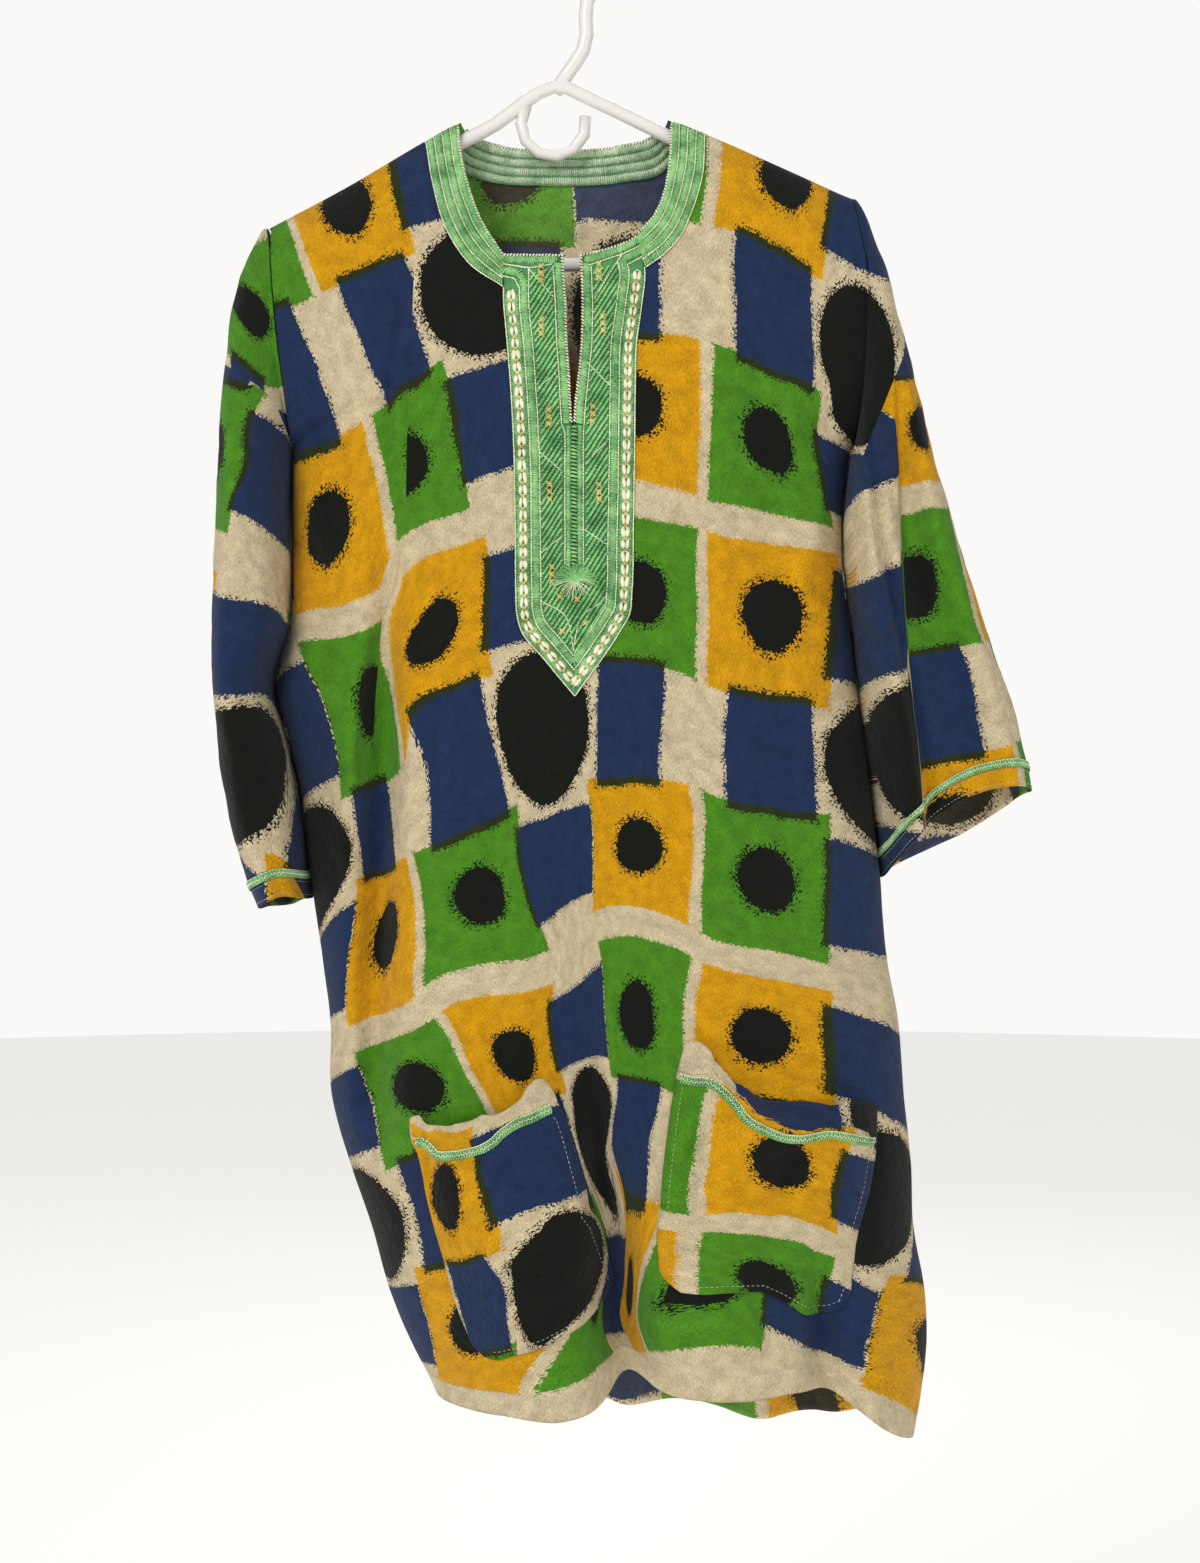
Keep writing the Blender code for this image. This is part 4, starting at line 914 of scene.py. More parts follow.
def makeStitchTree():
    # Lays one thread form on every point, turned and sized by the point's own attributes.
    tree = bpy.data.node_groups.new("laidStitches", "GeometryNodeTree")
    for name, kind in (("Points", "Geometry"), ("Thread form", "Object"), ("Thickness", "Float"),
                       ("Unevenness", "Float"), ("Seed", "Int"), ("Thread", "Material")):
        tree.interface.new_socket(name, in_out="INPUT", socket_type="NodeSocket" + kind)
    tree.interface.new_socket("Stitches", in_out="OUTPUT", socket_type="NodeSocketGeometry")
    given = addNode(tree, "NodeGroupInput", None, None).outputs
    form = addNode(tree, "GeometryNodeObjectInfo", {"Object": given["Thread form"]}, "Geometry")
    turn, size = (addNode(tree, "GeometryNodeInputNamedAttribute", {"Name": name}, data_type="FLOAT_VECTOR")
                  for name in ("turn", "size"))
    least, most = (addNode(tree, "Math", {0: 1.0, 1: given["Unevenness"]}, operation=kind)
                   for kind in ("SUBTRACT", "ADD"))
    least, most = (addNode(tree, "CombineXYZ", {axis: end for axis in range(3)}) for end in (least, most))
    vary = addNode(tree, "FunctionNodeRandomValue", {"Min": least, "Max": most, "Seed": given["Seed"]},
                   data_type="FLOAT_VECTOR")
    thick = addNode(tree, "CombineXYZ", {0: 1.0, 1: given["Thickness"], 2: given["Thickness"]})
    sized = addNode(tree, "VectorMath", {0: size, 1: vary}, operation="MULTIPLY")
    sized = addNode(tree, "VectorMath", {0: sized, 1: thick}, operation="MULTIPLY")
    turned = addNode(tree, "FunctionNodeEulerToRotation", {0: turn})
    laid = addNode(tree, "GeometryNodeInstanceOnPoints",
                   {"Points": given["Points"], "Instance": form, "Rotation": turned, "Scale": sized})
    real = addNode(tree, "GeometryNodeRealizeInstances", {0: laid})
    finish = addNode(tree, "GeometryNodeSetMaterial", {"Geometry": real, "Material": given["Thread"]})
    addNode(tree, "NodeGroupOutput", {"Stitches": finish}, None)
    return tree


stitchTree = makeStitchTree()
forms = {name: makeThreadForm(name) for name in threadForms}


def layStitches(name, marks, form, thread, thickness=1.0, unevenness=0.12, seed=1):
    # marks: start, end, away, width, height, all in millimetres.
    mesh = bpy.data.meshes.new(name)
    mesh.from_pydata([((a + b) / 2) * mm for a, b, away, wide, high in marks], [], [])
    turn = mesh.attributes.new("turn", "FLOAT_VECTOR", "POINT")
    size = mesh.attributes.new("size", "FLOAT_VECTOR", "POINT")
    for index, (a, b, away, wide, high) in enumerate(marks):
        forward = (b - a).normalized()
        aside = away.cross(forward).normalized()
        turn.data[index].vector = Matrix((forward, aside, forward.cross(aside))).transposed().to_euler()
        size.data[index].vector = ((b - a).length * mm, wide * mm, high * mm)
    made = newObject(name, mesh)
    nodes = made.modifiers.new("stitches", "NODES")
    nodes.node_group = stitchTree
    values = {"Thread form": forms[form], "Thickness": thickness, "Unevenness": unevenness, "Seed": seed,
              "Thread": thread}
    for item in stitchTree.interface.items_tree:
        if item.item_type == "SOCKET" and item.in_out == "INPUT" and item.name in values:
            nodes[item.identifier] = values[item.name]
    applyModifiers(made)
    made.data.shade_smooth()
    if not made.data.materials:
        made.data.materials.append(thread)
    return made


def evenly(points, pitch, start=0.0):
    # Places and headings at a fixed pitch along a route of straight runs.
    points = np.array(points, float)
    run = lengths(points)
    at = np.arange(start, run[-1] + 1e-6, pitch)

    def place(where):
        return np.column_stack([np.interp(where, run, points[:, axis]) for axis in (0, 1)])

    ahead = place(np.minimum(at + 1.2, run[-1])) - place(np.maximum(at - 1.2, 0))
    ahead /= np.linalg.norm(ahead, axis=1)[:, None]
    return place(at), ahead


def stitchAlong(marks, surface, route, pitch, ends, out, wide, high, start=0.0):
    # ends: how far aside and along the route each stitch starts and ends.
    (asideA, alongA), (asideB, alongB) = ends
    for place, ahead in zip(*evenly(route, pitch, start)):
        aside = np.array([-ahead[1], ahead[0]])
        a, away = surface(*(place + aside * asideA + ahead * alongA), out)
        b, other = surface(*(place + aside * asideB + ahead * alongB), out)
        marks.append((a, b, (away + other).normalized(), wide, high))


def runAlong(marks, surface, route, pitch, half, out, wide, high, start=0.0):
    # A running stitch, each stitch lying along the route.
    stitchAlong(marks, surface, route, pitch, ((0, -half), (0, half)), out, wide, high, start)


def twistAlong(light, dark, surface, route, out, thick=2.0, pitch=2.2):
    # A twisted cord of two threads: short slanting turns laid side by side.
    ends = ((-thick / 2, -0.95), (thick / 2, 0.95))
    stitchAlong(light, surface, route, pitch, ends, out, pitch * 0.72, thick)
    stitchAlong(dark, surface, route, pitch, ends, out - 0.05, pitch * 0.5, thick * 0.9, start=pitch / 2)


def acrossRows(marks, surface, inner, outer, pitch, shares, out, wide, high):
    # Stitches from one share of the way between two edges to another.
    count = max(int(np.linalg.norm(np.diff(inner, axis=0), axis=1).sum() / pitch), 2)
    near, far = polyline(inner, count), polyline(outer, count)
    for a, b in zip(near + (far - near) * shares[0], near + (far - near) * shares[1]):
        (start, away), (end, other) = surface(*a, out), surface(*b, out)
        marks.append((start, end, (away + other).normalized(), wide, high))


def strandTubes(name, paths, radius, thread, sides=4):
    # Loose threads: thin closed tubes along short paths.
    points, faces = [], []
    for path in paths:
        path = [Vector(p) for p in path]
        for index, place in enumerate(path):
            ahead = (path[min(index + 1, len(path) - 1)] - path[max(index - 1, 0)]).normalized()
            aside = ahead.cross(Vector((0.3, 1, 0.2))).normalized()
            over = ahead.cross(aside)
            thin = radius * (1 - 0.45 * index / (len(path) - 1))
            for k in range(sides):
                turn = 2 * math.pi * k / sides
                points.append(place + (aside * math.cos(turn) + over * math.sin(turn)) * thin)
        first = len(points) - sides * len(path)
        for index in range(len(path) - 1):
            for k in range(sides):
                low, after = first + index * sides, (k + 1) % sides
                faces.append((low + k, low + after, low + sides + after, low + sides + k))
        faces.append([first + k for k in range(sides)][::-1])
        faces.append([len(points) - sides + k for k in range(sides)])
    mesh = bpy.data.meshes.new(name)
    mesh.from_pydata([p * mm for p in points], [], faces)
    reshape(mesh, lambda form: bmesh.ops.recalc_face_normals(form, faces=form.faces))
    return newObject(name, mesh, thread)


def inset(points, distance):
    # The route moved sideways by a distance, its corners mitred.
    points = np.array(points, float)
    runs = np.diff(points, axis=0)
    runs /= np.linalg.norm(runs, axis=1)[:, None]
    aside = np.column_stack([-runs[:, 1], runs[:, 0]])
    moved = [points[0] + aside[0] * distance]
    for index in range(1, len(points) - 1):
        both = aside[index - 1] + aside[index]
        moved.append(points[index] + both * distance / max(0.3, 1 + float(aside[index - 1] @ aside[index])))
    moved.append(points[-1] + aside[-1] * distance)
    return np.array(moved)


def threadFinish(name, light, dark, gloss):
    # Twisted rayon floss: fine bright and dark streaks along the strands, with a soft silky shine.
    made, tree, surface = newMaterial(name)
    place = addNode(tree, "TexCoord", None, "Object")
    # Streaks about 0.7 mm apart and patches of wear about 12 mm across.
    fine, broad = (addNode(tree, "TexNoise", {"Vector": place, "Scale": scale, "Detail": 2.0})
                   for scale in (1400.0, 90.0))
    both = addNode(tree, "Math", {0: fine, 1: broad}, operation="ADD")
    share = addNode(tree, "MapRange", {0: both, 1: 0.72, 2: 1.2})
    colour = addNode(tree, "Mix", {0: share, 6: hexColour(dark), 7: hexColour(light)}, 2, data_type="RGBA")
    relief = addNode(tree, "Bump", {"Height": fine, "Strength": 0.3, "Distance": 0.0002})
    wire(tree, surface, {"Base Color": colour, "Normal": relief, "Roughness": gloss, "Sheen Weight": 0.15})
    return made


threads = {
    "green": threadFinish("rayon floss, leaf green", "#A8E394", "#3F8E45", 0.42),
    "deepGreen": threadFinish("rayon floss, deep green", "#5FA65A", "#2B6A38", 0.5),
    "cream": threadFinish("cotton thread, cream", "#FFFBE2", "#E6E0B4", 0.55),
    "gold": threadFinish("metallic thread, dull gold", "#E9D88A", "#A8923C", 0.4),
    "dark": threadFinish("cotton thread, black", "#24302A", "#0B100D", 0.7),
    "ground": threadFinish("satin ground, green", "#5FA65A", "#2F7440", 0.55),
    # The placket's ground: dark green as painted shade for the valleys between the strands.
    "paintedValleyShade": threadFinish("placket ground, painted valley shade", "#4C9A52", "#286A39", 0.6),
    "pale": threadFinish("stitch backs, pale green", "#DCEBC9", "#8FBB8B", 0.7),
    "natural": threadFinish("cotton thread, natural", "#DAD2BE", "#A79F8A", 0.7),
}


def ribbon(name, surface, rows, facing, thread, thickness=0.7, out=0.1):
    # A thin base under stitches, its rows of places laid on the cloth.
    grid = np.array([[list(surface(x, z, out + thickness)[0]) for x, z in row] for row in rows])
    across, down = np.meshgrid(np.arange(grid.shape[1]), np.arange(grid.shape[0]))
    made = meshFromGrid(name, grid, np.dstack([across, down]).astype(float), facing)
    made.data.materials.append(thread)
    thicken(made, thickness)
    return made


print("pockets")

# Each pocket's edges on the garment, x and z, and where its print's marks fall.
pockets = {
    "left": {
        "top": [(-110, -819), (-106, -816), (-99.9, -815), (-95.9, -819), (-85.8, -820), (-71, -818),
                (-56.5, -814), (-44.9, -811), (-39, -807), (-34.9, -803), (-30.6, -795), (-26.4, -791),
                (-21.8, -791), (-18.4, -799), (-14, -807)],
        "left": [(-110, -819), (-108, -835), (-105, -840), (-103, -847), (-98.6, -869), (-93.4, -889),
                 (-86, -913), (-79.3, -936), (-71, -957), (-65.2, -968), (-58.5, -973)],
        "bottom": [(-58.5, -973), (-50.3, -974), (-38.7, -970), (-18.6, -963), (-3, -955), (8.3, -949),
                   (19.8, -939), (27.9, -927)],
        "right": [(-14, -807), (-6.9, -813), (-1.8, -829), (1.8, -842), (7.5, -863), (10.4, -878),
                  (15.4, -886), (21.3, -906), (27.9, -927)],
        "braid": [(-107, -834), (-99.9, -833), (-95.5, -836), (-91.5, -840), (-79.9, -840), (-71, -838),
                  (-62.3, -835), (-53.5, -830), (-44.8, -822), (-36, -817), (-27.6, -814), (-19, -810),
                  (-13.3, -808)],
        "print": [(147, 177, -85, -870), (194, 127, -66, -824), (110, 127, -94, -825), (189, 155, -63, -836),
                  (189, 207, -50, -884), (283, 207, 7, -863), (283, 150, -6, -814), (237, 265, -6, -918),
                  (190, 265, -37, -918), (237, 218, -6, -876), (237, 312, -22, -961), (116, 222, -84, -913),
                  (182, 222, -58, -906), (182, 309, -39, -966), (194, 225, -45, -902), (100, 225, -88, -913),
                  (104, 130, -108, -823)],
        "belly": 10, "mouthLift": 3,
        "folds": [(-94, -836, -84, -925, -3.0, 3.5), (-40, -812, -62, -840, 3, 8)],
        "stitched": ("right", "bottom"), "braidBelow": 0,
    },
    "right": {
        "top": [(68.8, -785), (78.5, -787), (91.4, -788), (97.2, -792), (106, -801), (114, -811), (125, -818),
                (136, -823), (148, -825), (159, -824), (168, -823), (175, -824), (191, -829), (205, -833)],
        "left": [(68.8, -785), (66.3, -798), (64, -812), (61.9, -829), (58.9, -853), (57, -876), (55.3, -890),
                 (56, -904), (58, -917), (63.8, -923), (70.8, -928)],
        "bottom": [(70.8, -928), (83.5, -929), (101, -928), (112, -928), (124, -929), (135, -934),
                   (144, -940), (155, -948), (169, -947), (180, -942)],
        "right": [(205, -833), (203, -848), (200, -865), (196, -878), (191, -892), (188, -903), (187, -911),
                  (185, -922), (184, -933), (180, -942)],
        "facing": [(73.6, -766), (78.6, -765), (83.7, -766), (89.8, -772), (92.2, -780), (97.9, -787),
                   (104, -792), (112, -796), (117, -800), (125, -803.5), (138, -805), (151, -806),
                   (163, -808), (168, -810), (174, -809), (178, -806), (182, -808), (191, -809),
                   (200, -811), (205, -813)],
        "print": [(147, 177, 133, -844), (194, 127, 172, -894), (100, 127, 89, -878), (100, 225, 97, -792),
                  (189, 207, 175, -840), (225, 207, 200, -849), (225, 141, 190, -895), (90, 225, 87, -792),
                  (90, 127, 72, -877), (100, 100, 88, -887), (192, 100, 172, -908), (146, 50, 122, -919),
                  (100, 20, 85, -925), (189, 84, 168, -924), (90, 100, 65, -889), (90, 30, 64, -918)],
        "belly": 12, "mouthLift": 8,
        "folds": [(90, -800, 76, -900, -4.5, 5), (150, -828, 128, -880, -2.5, 12)],
        "stitched": ("right", "bottom", "left"), "braidBelow": 3.2,
    },
}
pocketMesh = {
    "across": 72, "down": 84, "out": 1.1, "waves": [(0.9, 19, 31.0), (0.5, 8, 13.0)],
    "facingAcross": 90, "facingRows": 12,
}


def pocketPlaces(settings, across, down):
    # A flat patch between the four edges.
    top, bottom = (polyline(settings[name], across + 1) for name in ("top", "bottom"))
    left, right = (polyline(settings[name], down + 1) for name in ("left", "right"))
    s, t = np.meshgrid(np.linspace(0, 1, across + 1), np.linspace(0, 1, down + 1))
    over, along = s[..., None], t[..., None]
    places = (1 - along) * top[None] + along * bottom[None]
    places = places + (1 - over) * left[:, None] + over * right[:, None]
    places -= ((1 - over) * (1 - along) * top[0] + over * (1 - along) * top[-1]
               + (1 - over) * along * bottom[0] + over * along * bottom[-1])
    return places, s, t


def layGrid(tree, places, out):
    grid = np.zeros(places.shape[:2] + (3,))
    for index in np.ndindex(places.shape[:2]):
        grid[index] = onCloth(tree)(*places[index], float(out[index]))[0]
    return grid


def pocketOut(settings, places, s, t):
    # The belly, fullest near the mouth, with soft creases and a slight rise at each stitched edge.
    full = (1 - np.abs(2 * s - 1) ** 3.4) * (1 - t**2.2)
    out = pocketMesh["out"] + settings["belly"] * full + settings["mouthLift"] * full * np.exp(-t / 0.08)
    out += creaseRise(settings["folds"], places[..., 0], places[..., 1]) * np.clip(full * 3, 0, 1)
    flat = np.dstack([places[..., 0], places[..., 1], 0 * s]).reshape(-1, 3)
    rough = crumple(flat, pocketMesh["waves"]).reshape(s.shape)
    edge = np.minimum(np.minimum(s, 1 - s) * 150, (1 - t) * 165)
    return np.maximum(out + rough * ease(edge / 14), pocketMesh["out"]) + 0.5 * bump(edge, 2.4, 2.0)


def makePocket(side):
    settings = pockets[side]
    places, s, t = pocketPlaces(settings, pocketMesh["across"], pocketMesh["down"])
    grid = layGrid(frontTree, places, pocketOut(settings, places, s, t))
    uvs = onGrid(thinPlate(settings["print"], 0.2), places)
    made = meshFromGrid("pocket" + side.capitalize() + "Cloth", grid, uvs, -1)
    clothPiece(made, "pocket_" + side)
    return made, treeOf(grid)


def makeFacing(side):
    # The turned-over mouth above the braid: it leans back into the hollow where the mouth sags.
    settings = pockets[side]
    low, high = (polyline(settings[name], pocketMesh["facingAcross"] + 1) for name in ("top", "facing"))
    s, t = np.meshgrid(np.linspace(0, 1, len(low)), np.linspace(0, 1, pocketMesh["facingRows"] + 1))
    full = 1 - np.abs(2 * s - 1) ** 3.4
    start = pocketMesh["out"] + (settings["belly"] + settings["mouthLift"]) * full
    sunk = np.exp(-(((s - 0.56) / 0.2) ** 4))
    out = start * (1 - t * (0.35 + 0.55 * sunk)) + 3.0 * bump(s, 0.3, 0.14) * t**3
    out += 4.0 * bump(s, 0.8, 0.05) * t**2
    grid = layGrid(frontTree, low + (high - low) * t[..., None], np.maximum(out, pocketMesh["out"]))
    uvs = np.dstack([76 + 139 * s, 254 + 20 * (1 - t)])
    clothPiece(meshFromGrid("pocket" + side.capitalize() + "Facing", grid, uvs, 1), "pocket_" + side)


pocketTrees = {}
pocketLeft, pocketTrees["left"] = makePocket("left")
pocketRight, pocketTrees["right"] = makePocket("right")
makeFacing("right")


def makePocketTrim(side):
    settings, surface = pockets[side], onCloth(pocketTrees[side])
    route = polyline(settings.get("braid", settings["top"]), 60)[1:-1] - (0, settings["braidBelow"])
    braidAlong("pocketTrim" + side.capitalize(), surface, route, 6.2, ["pocket_trim_" + side])
    # A running stitch 5 mm inside the sewn edges.
    marks = []
    for name in settings["stitched"]:
        line = inset(settings[name], -5 if name == "right" else 5)
        runAlong(marks, surface, line, 3.4, 1.1, 0.02, 0.45, 0.3, start=6)
    piece(layStitches("topstitch" + side.capitalize(), marks, "leaf", threads["natural"]), "thread")


def braidAlong(name, surface, route, width, nodes, facing=1, out=0.05):
    # A narrow woven braid: slanted green strands either side of a cream chain, one edge piped cream.
    half = width / 2
    rows = [inset(route, half * share) for share in (-1, 0, 1)]
    piece(ribbon(name + "Base", surface, rows, facing, threads["deepGreen"], 0.5, out), "braid", *nodes)
    green, cream = [], []
    for low, high, lean in ((-half, -0.3, 1.3), (half, 0.3, 1.3)):
        stitchAlong(green, surface, route, 1.7, ((low, 0), (high, lean)), out + 0.45, 1.35, 0.9)
    for aside, start in ((-1, 0.0), (1, 1.5)):
        ends = ((0.9 * aside, -0.4), (-0.5 * aside, 1.0))
        stitchAlong(cream, surface, route, 3.0, ends, out + 0.95, 0.75, 0.6, start)
    stitchAlong(cream, surface, route, 2.4, ((half - 0.2, -1.3), (half - 0.2, 1.3)), out + 0.55, 0.8, 0.7)
    piece(layStitches(name + "Strands", green, "flat", threads["green"], seed=3), "braid", *nodes)
    piece(layStitches(name + "Chain", cream, "leaf", threads["cream"], seed=4), "braid", *nodes)


for side in ("left", "right"):
    makePocketTrim(side)

print("placket and neck bands")

# The placket's outer edge, down the left side, round the point and up the right side.
placket = {
    "edge": [(-48.5, -231), (-48.8, -266), (-46, -295), (-43.8, -323), (-40.9, -380), (-40.3, -424),
             (-39.7, -465), (-39, -480), (-36, -491), (-21, -510), (0.6, -536), (19.5, -510), (32, -491),
             (38, -480), (39.5, -465), (40.4, -424), (41.2, -380), (42, -323), (42.6, -295), (46.5, -266),
             (48.5, -240), (42.5, -221)],
    # How far in from the edge each line runs, and where it turns at the top on the left and right.
    "tops": {
        0.5: (-253, [], -238, []), 5.8: (-256, [], -243, []),
        11.4: (-252, [(-50.5, -246), (-41, -248.3)], -238, [(43, -234.5), (54, -228.5)]),
        14.4: (-249, [(-50.5, -241.5), (-38.5, -243.8)], -234, [(38.6, -231.5), (52, -225)]),
        17.5: (-244, [(-50.5, -237.3), (-31.6, -240.4)], -233, [(32.2, -230.8), (50, -222.5)]),
    },
    "topRows": [[(-50, -234.3), (-11.6, -234.6)], [(7.4, -234.4), (30, -227.3), (46, -219.5)]],
    "topLines": [[(-48, -238), (-31.6, -240.4), (-15.6, -238)], [(10.5, -238), (32.2, -230.8)]],
    "topCords": [[(-48, -231.2), (-8.5, -231.8)], [(4.4, -231.6), (30, -224.8), (43, -218.6)]],
    "ladder": (-352, -446), "strand": {"slope": 58, "spacing": 2.9, "length": 3.9, "step": 2.3},
    "slitFoot": -350, "ground": 14, "motifPitch": 8.5,
    "zigzag": [
        [(-31.9, -240.8), (-14.7, -260.7)], [(-24, -324.7), (-12.5, -315)], [(-23.2, -369.8), (-8.3, -382.8)],
        [(-21.7, -438.2), (-8.9, -428)], [(-21.6, -471.5), (-7, -480), (0, -505.4)],
        [(32.6, -230.8), (13.4, -262.8)], [(9.3, -308), (23.6, -322.6)], [(21.6, -362.2), (8, -377.3)],
        [(8, -423.2), (22.2, -432.8)], [(18.8, -471.5), (5, -482), (0, -500.6)],
    ],
    "goldRows": [(-22.6, -244.3), (-22.5, -282), (-17.2, -344.9), (-16.7, -396.5), (-14.9, -452.5),
                 (16.8, -242.2), (19.6, -279.8), (12.4, -342.8), (16.8, -396.5)],
    "goldKnots": [(-9.5, -468.1), (2, -469.5), (-8.1, -491.1), (7.4, -485.7)],
}
onFront, onBack = onCloth(frontTree), onCloth(backTree, 1)


def slitEdge(side, aside=0.0, low=-350.0, high=-232.0):
    # The slit's edge moved away from its middle, running down. Below its foot the sides stay close.
    down = np.linspace(high, low, 60)
    x = np.interp(down, slitRows[:, 0], slitRows[:, 1 if side == "left" else 2])
    x = np.where(down < placket["slitFoot"], way[side] * 1.7, x)
    return np.column_stack([x + way[side] * aside, down])


def placketLine(distance):
    # A line inside the edge, both its ends turned to meet the neck's rows.
    edge = polyline(placket["edge"][:10], 60), polyline(placket["edge"][11:], 60)
    whole = np.vstack([edge[0], [placket["edge"][10]], edge[1]])
    line = inset(whole, distance)
    tip = int(np.argmin(line[:, 1]))
    leftTop, leftTurn, rightTop, rightTurn = placket["tops"][distance]
    left = [p for p in line[:tip + 1] if p[1] < leftTop and p[0] < line[tip, 0] + 0.1]
    right = [p for p in line[tip + 1:] if p[1] < rightTop and p[0] > line[tip, 0]]
    return np.array(list(leftTurn) + [tuple(p) for p in left] + [tuple(p) for p in right] + list(rightTurn))


def makePlacketBase():
    # One thin ground under the stitches, in two halves joined below the slit; its dark green is painted shade
    # for the valleys between the stitches.
    edge = np.array(placket["edge"])
    foot, shares = placket["slitFoot"], np.linspace(0, 1, placket["ground"])
    left, right = [], []
    for z in np.concatenate([np.linspace(-230.6, foot, 40), np.linspace(foot, -535, 60)[1:]]):
        low, high = (np.interp(z, half[:, 1], half[:, 0]) for half in (edge[10::-1], edge[10:21]))
        closing = ease((foot - z) / 10)
        inner = [np.interp(z, slitRows[:, 0], slitRows[:, k]) for k in (1, 2)]
        inner = [x * (1 - closing) + closing * 0.3 for x in inner]
        left.append([(low + (min(inner[0], high) - low) * s, z) for s in shares])
        rising = 11 * ease((z + 262) / 31) ** 2
        right.append([(inner[1] + (high - inner[1]) * s, z + rising * s**1.3) for s in shares])
    for name, rows in (("placketGroundLeft", left), ("placketGroundRight", right)):
        piece(ribbon(name, onFront, rows, -1, threads["paintedValleyShade"], 0.55, 0.1), "embroidery", "placket")


def strandMarks():
    # Slanting strands like twisted rope fill the ground between the satin cord and the slit.
    settings = placket["strand"]
    outer = placketLine(17.5)
    outline = np.vstack([
        outer[2:-2], [(30, -236), (8, -240)], slitEdge("right", 7.4)[2:], slitEdge("right", 5.6, -446, -352),
        [(0, -450)], slitEdge("left", 5.6, -446, -352)[::-1], slitEdge("left", 7.4)[::-1][:-2],
        [(-12, -240), (-30, -243)]])
    slope = math.radians(settings["slope"])
    along = np.array([math.cos(slope), math.sin(slope)])
    across = np.array([along[1], -along[0]])
    row, step = [grid.ravel() for grid in np.meshgrid(np.arange(-60, 60), np.arange(-80, 80))]
    places = np.array([0, -370]) + across * (row * settings["spacing"])[:, None]
    places = places + along * ((step + 0.37 * (row % 3)) * settings["step"])[:, None]
    low, high = places - along * settings["length"] * 0.45, places + along * settings["length"] * 0.45
    kept = inside(outline, low[:, 0], low[:, 1]) & inside(outline, high[:, 0], high[:, 1])
    marks = []
    for a, b in zip(low[kept] - across * 0.62, high[kept] + across * 0.62):
        (a, away), (b, _) = onFront(*a, 0.5), onFront(*b, 0.5)
        marks.append((a, b, away, 1.7, 2.1))
    return marks


def satinRow(marks, surface, route, half, out=0.45, pitch=1.25, high=2.1):
    stitchAlong(marks, surface, route, pitch, ((-half, -0.45), (half, 0.45)), out, 1.45, high)


def laidPieces(name, rows, nodes):
    # One piece of stitches for each row: its part of the name, its marks, thread form, thread and seed.
    for part, marks, form, thread, seed in rows:
        made = layStitches(name + part, marks, form, threads[thread], unevenness=0.2, seed=seed)
        piece(made, "embroidery", *nodes)


